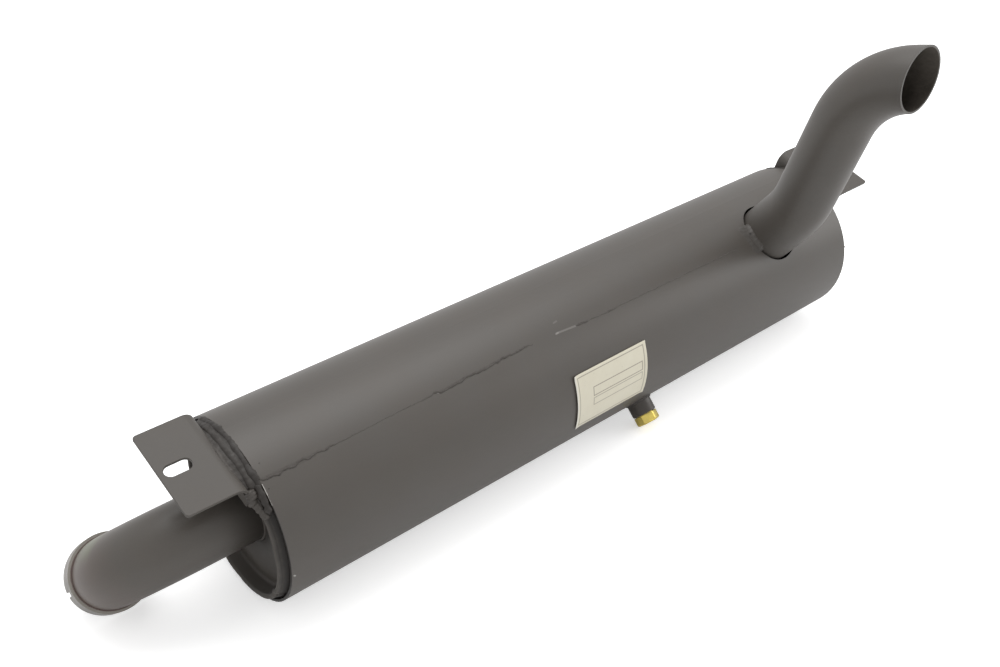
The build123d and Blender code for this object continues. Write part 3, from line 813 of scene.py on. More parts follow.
# %% [markdown]
# ## The tail pipe
# It leaves the can's shoulder towards the front, stands up, and turns over to blow forwards. Its end
# is cut upright, so the mouth is an ellipse, and a plane cut does that at the end of the job, as a
# saw would. The cut goes through both skins, so the rim between them is flat like a sawn one, and a
# small bevel shows it as a thin light line round the dark bore.
# %% Tail pipe
PIPE_RADIUS = 27.7
PIPE_WALL = 1.8
TAIL_X = LENGTH - 94.0
TAIL_LEANS = (38.0, 17.5, 76.0)
TAIL_BEND = 85.0
TAIL_ROOT = CAN - 22.0
TAIL_RISE = CAN + 43.5
TAIL_CLIMB = 144.5
TAIL_RUN = 50.5


def tangent(degrees, radius):
    return radius * math.tan(math.radians(degrees) / 2)


def make_tail_pipe():
    first, second, last = TAIL_LEANS
    eased, turned = tangent(first - second, TAIL_BEND), tangent(last - second, TAIL_BEND)
    runs = [TAIL_RISE - TAIL_ROOT - eased, TAIL_CLIMB - eased - turned, TAIL_RUN + PIPE_RADIUS - turned]
    bends = [(-ALONG, first - second), (ALONG, last - second)]
    start = on_can(TAIL_X, first, TAIL_ROOT)
    bm, end = bent_pipe(PIPE_WALL, start, lean(first), runs, bends, TAIL_BEND, PIPE_RADIUS)
    mouth = end - lean(last) * PIPE_RADIUS * MM
    geometry = bm.verts[:] + bm.edges[:] + bm.faces[:]
    bmesh.ops.bisect_plane(bm, geom=geometry, plane_co=mouth, plane_no=(0, -1, 0), clear_outer=True)
    halfway = (mouth.z + start.z) / 2
    join_ends(bm, lambda place: place.z - halfway)
    return make_piece("tail_pipe", bm, [outlet_paint, soot], ["outlet_pipe"]), mouth


tail_pipe, tail_mouth = make_tail_pipe()
soften(tail_pipe, 0.35)
print("tail pipe's mouth at", [round(v, 4) for v in tail_mouth])

# %% [markdown]
# ## The inlet elbow
# The inlet pipe runs straight out of the cap and turns once through a right angle, down and back.
# The same helper makes it; the axis of the bend is square to both headings, and a cross product
# gives it.
# %% Inlet elbow
ELBOW_HEEL = 88.0
ELBOW_BEND = 54.0
ELBOW_TAIL = 7.0
ELBOW_REACH = 40.0


def make_elbow():
    start = on_can(ELBOW_REACH, 0, 0)
    runs = [ELBOW_REACH + ELBOW_HEEL - ELBOW_BEND, ELBOW_TAIL]
    bends = [((-ALONG).cross(elbow_heading), 90.0)]
    bm, end = bent_pipe(PIPE_WALL, start, -ALONG, runs, bends, ELBOW_BEND, PIPE_RADIUS)
    join_ends(bm, lambda place: place.x - rim_x)
    return make_piece("inlet_elbow", bm, [elbow_paint, inner_steel], ["inlet_pipe"]), end


inlet_elbow, elbow_end = make_elbow()
soften(inlet_elbow, 0.3)
print("elbow's end at", [round(v, 4) for v in elbow_end])

# %% [markdown]
# ## The end caps
# A cap is pressed from sheet: a face inside the can, a wall that comes out again, a narrow fold past
# the rim, and a skirt back inside. Its outline is one chain of points, carried by extruding a
# vertex and by spinning it through the fold and the corner. Spinning the chain about the can's axis
# gives the cap. Its fold is then pushed about a little, since the real one was beaten over by hand:
# it leans out at the front, and it is knocked in low down.
# %% End caps
CAP_WALL = 2.0
CAP_SKIRT = 16.0
CAP_FLANK = 4.0
CAP_RECESS = 7.6
CAP_CORNER = 3.0
FOLD = 2.2
FOLD_X = FOLD - 5.4
FOLD_RADIUS = CAN - 2.0 - 5.3
FLANK_SLOPE = 32.5
LIP_LEAN_CLOCK = 95.0
LIP_LEAN = 1.8
JOG_CLOCK = 125.0
JOG = 1.6


def carry_point(bm, vert, x, radius):
    """Extrudes the chain's last vertex to a place given by x and radius, in mm, at the can's top."""
    made = bmesh.ops.extrude_vert_indiv(bm, verts=[vert])["verts"][0]
    made.co = on_can(x, 0, radius)
    return made


def turn_point(bm, vert, x, radius, degrees, steps):
    """Carries the chain's last vertex round a centre in the section's plane."""
    turned = bmesh.ops.spin(bm, geom=[vert], cent=on_can(x, 0, radius), axis=(0, 1, 0),
                            angle=math.radians(degrees), steps=steps, use_merge=False, use_duplicate=False)
    return only_verts(turned["geom_last"])[0]


def cap_chain(bm, hole):
    skin = CAN - 2.05
    last = bmesh.ops.create_vert(bm, co=on_can(CAP_SKIRT, 0, skin))["vert"][0]
    last = carry_point(bm, last, CAP_FLANK, skin)
    slope = math.radians(FLANK_SLOPE)
    last = carry_point(bm, last, FOLD_X + FOLD * math.sin(slope), FOLD_RADIUS + FOLD * math.cos(slope))
    last = turn_point(bm, last, FOLD_X, FOLD_RADIUS, -(180 + FLANK_SLOPE), 12)
    last = carry_point(bm, last, CAP_RECESS - CAP_CORNER, FOLD_RADIUS - FOLD)
    last = turn_point(bm, last, CAP_RECESS - CAP_CORNER, FOLD_RADIUS - FOLD - CAP_CORNER, 90, 5)
    carry_point(bm, last, CAP_RECESS, hole)


def wander(step, seed, pace=1.0):
    """A number between about -1 and 1 that drifts from step to step, the same in every run."""
    return noise.noise(Vector((step * pace, seed * 7.3, 0.5)))


def beat_lip(vert):
    """Leans the fold out at the front, and gives it the dents of the real one."""
    x = (vert.co.x - rim_x) / MM
    share = min(1.0, max(0.0, (CAP_FLANK - x) / 6.0))
    off = Vector((0, vert.co.y - axis_y, vert.co.z - axis_z))
    clock = math.degrees(math.atan2(-off.y, off.z))
    out = LIP_LEAN * math.cos(math.radians(clock - LIP_LEAN_CLOCK)) + 0.35 * wander(clock / 9, 31)
    vert.co.x -= share * out * MM
    jog = math.exp(-((clock - JOG_CLOCK) / 2.2) ** 2)
    vert.co -= off.normalized() * share * (0.3 * wander(clock / 7, 32) + JOG * jog) * MM


def make_cap(name, node, hole, at_far_end):
    bm = bmesh.new()
    cap_chain(bm, hole)
    bmesh.ops.spin(bm, geom=bm.verts[:] + bm.edges[:], cent=on_can(0, 0, 0), axis=(1, 0, 0),
                   angle=math.tau, steps=240, use_merge=True, use_duplicate=False)
    bmesh.ops.remove_doubles(bm, verts=bm.verts, dist=1e-6)
    for vert in bm.verts:
        beat_lip(vert)
    if at_far_end:
        mirror_to_far_rim(bm)
    turn_outwards(bm)
    face = min(bm.faces, key=lambda f: abs(f.calc_center_median().z - axis_z - 0.045))
    if (face.normal.x > 0) != at_far_end:
        bmesh.ops.reverse_faces(bm, faces=bm.faces)
    piece = make_piece(name, bm, [shaded_cap_paint], [node], 60)
    wall = piece.modifiers.new("wall", "SOLIDIFY")
    wall.thickness = CAP_WALL * MM
    wall.offset = -1
    return piece


make_cap("near_cap", "inlet_end_cap", PIPE_RADIUS, False)
make_cap("far_cap", "outlet_end_cap", 0.0, True)

# %% [markdown]
# ## Parts that only need softer edges
# The brackets, the collar and the drain boss have the right shape already, but every edge of a
# solid model is a perfect knife, and no light rests on it. A merged copy with a narrow bevel is the
# shortest way to a sheared and deburred edge, so the copy replaces the node.
# %% Softened copies


def softened_copy(node, name, material, width):
    bm = bmesh.new()
    bm.from_mesh(nodes[node].data)
    bmesh.ops.remove_doubles(bm, verts=bm.verts, dist=2e-6)
    bmesh.ops.dissolve_limit(bm, angle_limit=math.radians(0.5), verts=bm.verts, edges=bm.edges)
    turn_outwards(bm)
    piece = make_piece(name, bm, [material], [node])
    soften(piece, width)
    return piece


softened_copy("inlet_bracket", "near_bracket", bracket_paint, 0.45)
softened_copy("outlet_bracket", "far_bracket", bracket_paint, 0.45)
softened_copy("inlet_collar", "clamp_collar", collar_finish, 0.3)
softened_copy("drain_bung", "drain_boss", bung_finish, 0.3)

# %% [markdown]
# ## Laying a bead
# A weld bead is a string of overlapping puddles, so it swells and dips as it goes. A curve with a
# round bevel would be too even. Here a ring of points is extruded from place to place, and at each
# one a matrix sets where it is, which way is up, and how wide and high the puddle is. Noise with a
# fixed place gives the same lumps in every run.
# %% Helper: a bead along places


def puddle(point, along, up, width, height):
    """The matrix that takes a unit ring to one cross-section of a bead, in mm."""
    along = along.normalized()
    side = up.cross(along).normalized()
    up = along.cross(side).normalized()
    columns = (side * width * MM / 2, up * height * MM, along * MM, point)
    return Matrix([[c[row] for c in columns] for row in range(3)] + [[0, 0, 0, 1]])


def lay_bead(bm, sections, around=12):
    """Extrudes a ring through the given cross-sections and closes both ends."""
    ring_verts = bmesh.ops.create_circle(bm, segments=around, radius=1, cap_ends=True)["verts"]
    first = set(ring_verts)
    ring = [e for e in bm.edges if e.verts[0] in first and e.verts[1] in first]
    bmesh.ops.transform(bm, matrix=sections[0], verts=ring_verts)
    for before, after in zip(sections, sections[1:]):
        made = bmesh.ops.extrude_edge_only(bm, edges=ring)["geom"]
        bmesh.ops.transform(bm, matrix=after @ before.inverted(), verts=only_verts(made))
        fresh = set(only_verts(made))
        ring = [e for e in only_edges(made) if e.verts[0] in fresh and e.verts[1] in fresh]
    bmesh.ops.contextual_create(bm, geom=ring)


def roughen(bm, amount, size, seed):
    """Moves each point along its normal by smooth noise, in mm."""
    bm.normal_update()
    shift = Vector((seed * 3.1, seed * 1.7, seed * 2.3))
    for vert in bm.verts:
        vert.co += vert.normal * noise.noise(vert.co / (size * MM) + shift) * amount * MM


print("bead helpers ready")

# %% [markdown]
# ## The seam along the can
# The sheet was rolled and its edges welded in one long thin bead, later ground nearly flush. It
# wanders by a millimetre or two, and it is rough at the inlet end and before the scrape. The list
# holds where it runs: distance along the can, clock angle, and how wide and proud it is there.
# Beside the scrape it was ground away, so its height is below nought. The tail pipe parts it into two
# stretches, as in the solid model.
# %% Seam bead
SEAM_ROUTE = [
    (0.6, 37.8, 1.3, 0.35), (5.1, 39.4, 1.2, 0.40), (9.8, 39.5, 1.6, 0.45), (14.5, 39.8, 1.5, 0.4),
    (18.5, 39.6, 1.3, 0.45), (22.5, 38.8, 1.7, 0.45), (26.3, 39.9, 1.5, 0.4), (31.0, 39.3, 1.2, 0.4),
    (36.3, 38.9, 1.4, 0.35), (50.0, 38.9, 1.2, 0.3), (66.0, 38.8, 1.0, 0.2), (102.0, 38.2, 0.8, 0.12),
    (139.0, 38.0, 0.9, 0.15), (158.0, 38.3, 1.5, 0.35), (178.0, 38.1, 1.4, 0.4), (204.0, 37.3, 1.5, 0.4),
    (231.0, 36.9, 1.4, 0.4), (249.0, 36.8, 1.2, 0.3), (256.0, 36.8, 0.8, -0.06), (302.0, 38.3, 0.8, -0.06),
    (307.0, 38.6, 1.8, 0.35), (313.0, 38.6, 1.5, 0.3), (331.0, 39.0, 0.9, 0.2), (341.0, 39.2, 1.5, 0.3),
    (347.0, 39.2, 1.2, 0.3), (360.0, 39.3, 0.9, 0.2), (393.0, 39.3, 0.9, 0.2), (460.0, 39.6, 0.9, 0.2),
    (513.0, 39.9, 0.8, 0.18),
]
FAR_SEAM_ROUTE = [(610.0, 39.9, 0.8, 0.15), (632.0, 39.7, 0.9, 0.2), (656.5, 39.5, 1.0, 0.2)]
ROUGH_END = 60.0
SEAM_STEP = 1.2
SEAM_SINK = 0.1


def between(route, x):
    """Straight-line values of a route at a distance x."""
    for first, second in zip(route, route[1:]):
        if first[0] <= x <= second[0]:
            share = (x - first[0]) / (second[0] - first[0])
            return [a + (b - a) * share for a, b in zip(first, second)]
    return list(route[-1])


def seam_sections(route, seed):
    sections, x = [], route[0][0]
    while x <= route[-1][0]:
        _, clock, width, height = between(route, x)
        unruly = 1.0 if x < ROUGH_END or 150 < x < 255 else 0.4
        clock += unruly * (1.1 * wander(x, seed, 0.22) + 0.5 * wander(x, seed + 2, 0.6))
        swell = 1.25 + unruly * 0.5 * wander(x, seed + 1, 0.8)
        point = on_can(x, clock, CAN - SEAM_SINK)
        sections.append(puddle(point, ALONG, lean(clock), width * swell, (height + SEAM_SINK) * swell))
        x += SEAM_STEP
    return sections


def make_seam():
    bm = bmesh.new()
    lay_bead(bm, seam_sections(SEAM_ROUTE, 1), 8)
    lay_bead(bm, seam_sections(FAR_SEAM_ROUTE, 2), 8)
    turn_outwards(bm)
    return make_piece("seam_bead", bm, [seam_finish], ["seam_weld"], 60)


make_seam()

# %% [markdown]
# ## Beads round the pipes
# Where a pipe meets the curved can, its bead follows a saddle line. Each section stands at an angle
# round the pipe, is dropped along the pipe's axis onto the can, and leans halfway between the two
# walls. The tail pipe's bead leaves two stretches open, and the one on its right wears the pipe's
# lighter paint, which also stands for the painted highlight along that side.
# %% Beads on the saddle line


def saddle_point(x, axis_lean, radius, angle):
    """Where a line beside the pipe, at that angle round it, meets the can; with the way outwards."""
    axis = lean(axis_lean)
    across = axis.cross(ALONG)
    turn = math.radians(angle)
    outward = ALONG * math.cos(turn) + across * math.sin(turn)
    off = math.sin(turn) * radius
    height = math.sqrt(CAN ** 2 - off ** 2)
    return on_can(x, axis_lean, 0) + outward * radius * MM + axis * height * MM, outward


def saddle_sections(x, axis_lean, radius, angles, width, height, offset, slope, seed, ripple=0.06):
    """Sections of a fillet bead. Offset is its middle, outwards and up from the corner, in mm, and
    slope is how far its top leans from the pipe's own direction, in degrees."""
    sections = []
    steps = max(8, int(abs(angles[1] - angles[0]) * radius * 0.03))
    ring = abs(angles[1] - angles[0]) > 359
    axis = lean(axis_lean)
    for step in range(steps + 1):
        angle = angles[0] + (angles[1] - angles[0]) * step / steps
        point, outward = saddle_point(x, axis_lean, radius, angle)
        ahead, _ = saddle_point(x, axis_lean, radius, angle + 1)
        taper = 1.0 if ring else min(1.0, 0.3 + 0.1 * min(step, steps - step))
        swell = (1 + ripple * math.sin(step * 0.9 + seed) + 0.2 * wander(step, seed, 0.3)) * taper
        tip = math.radians(slope)
        up = axis * math.cos(tip) + outward * math.sin(tip)
        middle = point + (outward * offset[0] + axis * offset[1]) * taper * MM
        sections.append(puddle(middle, ahead - point, up, width * swell, height * swell))
    return sections


DRAIN_X = 382.0
DRAIN_CLOCK = 134.5
BOSS_RADIUS = 11.5
TAIL_WELD_BEADS = [
    ((149.0, 208.0), 15.0, 0.9, (5.4, 0.2), 15.0), ((147.0, 210.0), 8.0, 1.5, (1.5, 1.8), 50.0),
    ((-51.0, 63.0), 7.6, 1.5, (1.7, 1.6), 44.0),
]


def make_tail_weld():
    bm = bmesh.new()
    for seed, (angles, width, height, offset, slope) in enumerate(TAIL_WELD_BEADS):
        lay_bead(bm, saddle_sections(TAIL_X, TAIL_LEANS[0], PIPE_RADIUS, angles, width, height, offset,
                                     slope, seed + 3), 24)
    pipe_middle = on_can(TAIL_X, 0, 0).x
    # Painted highlight: the right stretch wears the pipe's lighter paint, the left one the darker weld
    # finish.
    for face in bm.faces:
        face.material_index = 1 if face.calc_center_median().x > pipe_middle else 0
    roughen(bm, 0.35, 6.0, 4)
    turn_outwards(bm)
    finishes = [pipe_weld_finish, outlet_paint]
    return make_piece("tail_pipe_bead", bm, finishes, ["outlet_pipe_weld"], 70)


def make_boss_weld():
    bm = bmesh.new()
    lay_bead(bm, saddle_sections(DRAIN_X, DRAIN_CLOCK, BOSS_RADIUS, (0.0, 360.0), 3.2, 1.0, (0.4, 0.4),
                                 45.0, 8))
    roughen(bm, 0.2, 2.0, 9)
    turn_outwards(bm)
    return make_piece("boss_bead", bm, [bung_weld_finish], ["drain_bung_weld"], 70)


make_tail_weld()
make_boss_weld()

# %% [markdown]
# ## Beads on a flat ring
# The inlet pipe's bead lies on the cap's flat face, and the collar's on the elbow. Both are plain
# rings about a straight axis, so their sections just turn about it.
# %% Beads on a ring


def ring_sections(centre, axis, radius, width, height, seed, ripple=0.1):
    """Sections of a bead all the way round an axis. Up leans between the pipe and its face."""
    first = axis.orthogonal().normalized()
    second = axis.cross(first)
    steps = max(24, int(radius * 3))
    sections = []
    for step in range(steps + 1):
        turn = math.tau * (step % steps) / steps
        outward = first * math.cos(turn) + second * math.sin(turn)
        swell = 1 + ripple * math.sin((step % steps) * 1.7) + 0.2 * wander(math.cos(turn) * 9, seed)
        point = centre + outward * radius * MM
        along = second * math.cos(turn) - first * math.sin(turn)
        sections.append(puddle(point, along, axis + outward, width * swell, height * swell))
    return sections


def make_ring_bead(name, node, centre, axis, radius, width, height, seed, material):
    bm = bmesh.new()
    lay_bead(bm, ring_sections(centre, axis, radius, width, height, seed))
    bmesh.ops.remove_doubles(bm, verts=bm.verts, dist=1e-5)
    turn_outwards(bm)
    return make_piece(name, bm, [material], [node], 70)


COLLAR_OVERLAP = 5.0
make_ring_bead("inlet_pipe_bead", "inlet_pipe_weld", on_can(CAP_RECESS, 0, 0), -ALONG,
               PIPE_RADIUS + 0.2, 2.4, 1.1, 11, shaded_cap_paint)
collar_start = elbow_end - elbow_heading * COLLAR_OVERLAP * MM
make_ring_bead("collar_bead", "inlet_collar_weld", collar_start, -elbow_heading,
               PIPE_RADIUS + 0.3, 1.3, 0.7, 12, collar_weld_finish)

# %% [markdown]
# ## The heavy welds at the brackets
# The groove between bracket, folded lip and rim was filled with several long runs side by side, so
# it has soft ridges and valleys, and at the near bracket's front corner the metal runs down over the
# end of the leg in scalloped puddles. One smooth fillet would miss that. Each run is its own bead
# about the can's axis, at its own distance from the rim. The first starts five degrees behind the
# bracket's back edge and stops past its front corner, and each next one is shorter at both ends.
# %% Bracket welds: the long runs
BRACKET_TILT = 16.4
BRACKET_WIDTH = 78.0
NEAR_BACK = 45.4
FAR_BACK = 48.9
WELD_RUNS = [
    (-1.3, CAN - 2.2, 6.6, 2.35), (-5.3, CAN - 3.0, 8.8, 2.3), (-9.6, CAN - 4.1, 8.8, 2.2),
    (-13.2, CAN - 5.0, 6.0, 2.7),
]
RUNS_START = (-5.0, 0.6)
RUNS_STOP = (0.6, -0.5)


def round_the_can(x, first, last, radius, width, height, seed):
    """Sections of a run about the can's axis, a millimetre apart, from one clock angle to another."""
    sections = []
    steps = max(6, int((last - first) * CAN * 0.0175))
    for step in range(steps + 1):
        clock = first + (last - first) * step / steps
        swell = 1 + 0.04 * math.sin(step * 1.3 + seed) + 0.22 * wander(step, seed, 0.11)
        drift = 0.9 * wander(step, seed + 20, 0.07)
        rise = 0.45 * wander(step, seed + 40, 0.10)
        ends = min(1.0, 0.3 + min(step, steps - step) * 0.25)
        along = on_can(x, clock + 1, radius) - on_can(x, clock, radius)
        point = on_can(x + drift, clock, radius + rise)
        sections.append(puddle(point, along, lean(clock), width * swell * ends, height * swell * ends))
    return sections


def front_corner(back):
    """The clock angle of the bracket's front edge, at the can's surface."""
    return BRACKET_TILT + math.degrees(math.asin((BRACKET_WIDTH - back) / CAN))


def make_bracket_bead(name, node, back, mirrored, seed):
    """All the runs of one bracket's weld. The far one is mirrored to the other rim."""
    bm = bmesh.new()
    back_clock = BRACKET_TILT - math.degrees(math.asin(back / CAN))
    for order, (x, radius, width, height) in enumerate(WELD_RUNS):
        first = back_clock + RUNS_START[0] + RUNS_START[1] * order
        last = front_corner(back) + RUNS_STOP[0] + RUNS_STOP[1] * order
        lay_bead(bm, round_the_can(x, first, last, radius, width, height, seed + order), 18)
    roughen(bm, 0.22, 6.0, seed)
    if mirrored:
        mirror_to_far_rim(bm)
    turn_outwards(bm)
    return make_piece(name, bm, [bracket_weld_finish], [node], 80)


make_bracket_bead("near_bracket_bead", "inlet_bracket_weld", NEAR_BACK, False, 1)
make_bracket_bead("far_bracket_bead", "outlet_bracket_weld", FAR_BACK, True, 5)

# %% [markdown]
# The foot is three short beads that overlap: one down the front end of the bracket's leg, one on from
# it along the lip, and one on the rim, darkened by the painted shade of the weld's bands. Their swell
# repeats every few millimetres, which gives the scalloped edge. A dark valley stays between the first
# and the last one.
# %% Bracket weld: the foot
FOOT_BEADS = [
    ([(-9.6, 40.4, 74.0), (-9.2, 42.6, 73.0), (-8.9, 44.6, 71.5), (-8.6, 47.0, 68.5), (-8.0, 49.5, 65.5)],
     8.2, 3.0),
    ([(-7.4, 46.5, 67.5), (-6.6, 50.0, 67.5), (-5.8, 53.5, 68.5), (-5.0, 57.0, 70.0), (-4.6, 60.5, 70.6)],
     6.6, 3.2),
]
RIM_BEAD = [
    (-2.6, 37.0, 72.6), (-2.4, 42.5, 73.0), (-2.2, 48.0, 73.2), (-2.4, 53.5, 73.2), (-2.8, 58.5, 72.4),
]
FOOT_FRONT = BRACKET_TILT + 70.0


def foot_sections(places, width, height, seed):
    """Sections of a short bead through places on the can, stepped about every millimetre."""
    sections, count = [], 0
    for first, second in zip(places, places[1:]):
        for part in range(5):
            share = part / 5
            point = on_can(*first).lerp(on_can(*second), share)
            swell = 1 + 0.09 * math.sin(count * 1.5 + seed) + 0.2 * wander(count, seed, 0.3)
            ends = min(1.0, 0.35 + 0.3 * count, 0.35 + 0.3 * (5 * (len(places) - 1) - 1 - count))
            along = on_can(*second) - on_can(*first)
            size = swell * ends
            sections.append(puddle(point, along, lean(FOOT_FRONT), width * size, height * size))
            count += 1
    return sections


def make_foot():
    bm = bmesh.new()
    for seed, (places, width, height) in enumerate(FOOT_BEADS):
        lay_bead(bm, foot_sections(places, width, height, seed + 50), 18)
    outer = set(bm.faces)
    lay_bead(bm, foot_sections(RIM_BEAD, 6.0, 2.9, 53), 18)
    for face in bm.faces:
        face.material_index = 0 if face in outer else 1
    roughen(bm, 0.18, 5.5, 21)
    turn_outwards(bm)
    return make_piece("bracket_weld_foot", bm, [foot_finish, bracket_weld_finish], (), 80)


make_foot()

# %% [markdown]
# ## The brass drain plug
# A pipe plug is turned from hexagon bar: six flats, corners rounded by wear, a domed end, and a neck
# that goes down into the boss. A hexagon is extruded, its end is drawn in by steps, a shallow turned
# dimple is inset, and a bevel takes the knife edges off. The neck is a plain cylinder.
# %% Drain plug
PLUG_SEAT = CAN + 13.7
PLUG_FLATS = 20.0
PLUG_HEAD = 8.6
PLUG_CHAMFER = 1.7
PLUG_ROUNDING = [(0.7, 0.965), (0.6, 0.94), (0.4, 0.90)]
PLUG_WEAR = 0.9
DIMPLE_RIM = 5.2
DIMPLE_DEPTH = 0.35
NECK_RADIUS = 8.5
NECK_LENGTH = 2.0
NECK_DROP = 0.8


def pull_up(bm, face, height, scale=1.0):
    """Extrudes one face straight up by mm, drops the one it left, and returns the new top face."""
    made = bmesh.ops.extrude_face_region(bm, geom=[face])["geom"]
    top = only_faces(made)[0]
    bmesh.ops.translate(bm, verts=top.verts, vec=(0, 0, height * MM))
    bmesh.ops.scale(bm, verts=top.verts, vec=(scale, scale, 1))
    return top


def make_plug():
    bm = bmesh.new()
    corner = PLUG_FLATS / math.sqrt(3) * MM
    bmesh.ops.create_circle(bm, segments=6, radius=corner, cap_ends=True)
    pull_up(bm, bm.faces[:][0], PLUG_HEAD - PLUG_CHAMFER)
    upright = [e for e in bm.edges if abs(e.verts[0].co.z - e.verts[1].co.z) > 0.001]
    bmesh.ops.bevel(bm, geom=upright, offset=PLUG_WEAR * MM, offset_type="OFFSET", segments=3, profile=0.5,
                    affect="EDGES", material=-1)
    top = max((f for f in bm.faces if len(f.verts) > 6), key=lambda f: f.calc_center_median().z)
    for rise, scale in PLUG_ROUNDING:
        top = pull_up(bm, top, rise, scale)
    rim = bmesh.ops.inset_region(bm, faces=[top], thickness=DIMPLE_RIM * MM)["faces"]
    bmesh.ops.translate(bm, verts=top.verts, vec=(0, 0, -DIMPLE_DEPTH * MM))
    print("plug: rim of", len(rim), "faces round the dimple")
    neck = bmesh.ops.create_cone(bm, cap_ends=True, segments=48, radius1=NECK_RADIUS * MM,
                                 radius2=NECK_RADIUS * MM, depth=NECK_LENGTH * MM)
    bmesh.ops.translate(bm, verts=neck["verts"], vec=(0, 0, -NECK_DROP * MM))
    place = Matrix.Translation(on_can(DRAIN_X, DRAIN_CLOCK, PLUG_SEAT)) @ stand_up(lean(DRAIN_CLOCK))
    bmesh.ops.transform(bm, matrix=place, verts=bm.verts)
    turn_outwards(bm)
    return make_piece("brass_plug", bm, [brass_finish], ["drain_plug"], 30)


brass_plug = make_plug()
soften(brass_plug, 0.35, 3)

# %% [markdown]
# ## The data plate
# The plate is foil on adhesive, printed with a thin frame and two empty fields. It was laid by hand,
# and its left edge and corners have lifted a little. A grid with its own UV map is wrapped round the
# can, the lift is added per point, and a thin wall is given. The printing reads the UV map, so it
# bends and lifts with the foil.
# %% Group: printed frame on the plate


def make_field_line():
    """The outline of one rectangle on the plate, as a mask. Places are in mm from its corner."""
    usual = {"Across": 0.0, "Down": 0.0, "Left": 0.0, "Right": 1.0, "Top": 0.0, "Bottom": 1.0, "Line": 0.35}
    inputs = {label: ("value", number) for label, number in usual.items()}
    group, given, wanted = start_group("field_line", inputs, {"Mask": "value"})
    from_left = calculate(group, "SUBTRACT", given["Across"], given["Left"])
    from_right = calculate(group, "SUBTRACT", given["Right"], given["Across"])
    from_top = calculate(group, "SUBTRACT", given["Down"], given["Top"])
    from_bottom = calculate(group, "SUBTRACT", given["Bottom"], given["Down"])
    inside = calculate(group, "MINIMUM", calculate(group, "MINIMUM", from_left, from_right),
                       calculate(group, "MINIMUM", from_top, from_bottom))
    off = calculate(group, "ABSOLUTE", inside)
    share = calculate(group, "DIVIDE", off, given["Line"])
    group.links.new(fade(group, share, 0.9, 0.5), wanted["Mask"])
    return group


field_line = make_field_line()
print("group", field_line.name, "with", len(field_line.nodes), "nodes")

# %% Plate finish
PLATE_WIDTH = 84.5
PLATE_HEIGHT = 55.0
PLATE_LINES = {
    "border": (3.6, 81.4, 3.0, 52.2, 0.62, 0.62),
    "upper_field": (19.8, 78.6, 17.6, 26.0, 0.6, 0.7),
    "lower_field": (19.8, 78.6, 28.4, 35.6, 0.55, 0.6),
}


def make_plate_finish():
    material, tree, shader = new_material("plate_foil", Metallic=0.0, Roughness=0.42, Specular_IOR_Level=0.5)
    spread = add_node(tree, "ShaderNodeUVMap", uv_map="plate").outputs[0]
    across = calculate(tree, "MULTIPLY", one_axis(tree, spread, "X"), PLATE_WIDTH)
    from_top = calculate(tree, "SUBTRACT", 1.0, one_axis(tree, spread, "Y"))
    down = calculate(tree, "MULTIPLY", from_top, PLATE_HEIGHT)
    place = own_place(tree)
    yellowing = cloud(tree, place, 60, 3, 0.6)
    colour = mix_colours(tree, yellowing, (0.63, 0.60, 0.49, 1), (0.56, 0.52, 0.41, 1))
    for left, right, top, bottom, line, strength in PLATE_LINES.values():
        inputs = {"Across": across, "Down": down, "Left": left, "Right": right, "Top": top,
                  "Bottom": bottom, "Line": line}
        drawn = add_node(tree, "ShaderNodeGroup", inputs, node_tree=field_line)
        amount = calculate(tree, "MULTIPLY", drawn.outputs["Mask"], strength)
        colour = mix_colours(tree, amount, colour, (0.12, 0.095, 0.08, 1))
    # Painted highlight: the lifted left edge is mixed pale, as the light it catches.
    edge_highlight = calculate(tree, "MULTIPLY", fade(tree, across, 2.0, 1.2), 0.6)
    colour = mix_colours(tree, edge_highlight, colour, (0.78, 0.77, 0.72, 1))
    grime = fade(tree, cloud(tree, place, 420, 3, 0.7), 0.66, 0.76, 0.0, 0.35)
    colour = mix_colours(tree, grime, colour, (0.25, 0.22, 0.17, 1))
    set_colour(tree, shader, colour)
    add_relief(tree, shader, cloud(tree, place, 190, 2), 0.12, 0.5)
    return material


plate_finish = make_plate_finish()
print("plate finish with", len(PLATE_LINES), "outlines and no words")

# %% Data plate
PLATE_X = 323.2
PLATE_CLOCK = 87.3
PLATE_COLUMNS, PLATE_ROWS = 42, 28


def plate_lift(across, down):
    """How far the foil stands off the can, in mm: most at the left edge and the two top corners."""
    left = max(0.0, 1 - across / 7.0) ** 2
    right = max(0.0, 1 - (PLATE_WIDTH - across) / 5.0) ** 2
    top = max(0.0, 1 - down / 5.0) ** 2
    bottom = max(0.0, 1 - (PLATE_HEIGHT - down) / 4.0) ** 2
    wave = 0.75 + 0.25 * math.sin(down / PLATE_HEIGHT * math.pi)
    return 0.30 + 1.0 * left * wave + 0.55 * right + 0.35 * top + 0.2 * bottom + 0.9 * left * top


def askew(across, down):
    """How far the foil lies towards the inlet, in mm: most at its left edge, but not at that edge's foot."""
    left = 1 - across / PLATE_WIDTH
    return 1.0 + left * (1.2 - 2.2 * (down / PLATE_HEIGHT) ** 3)


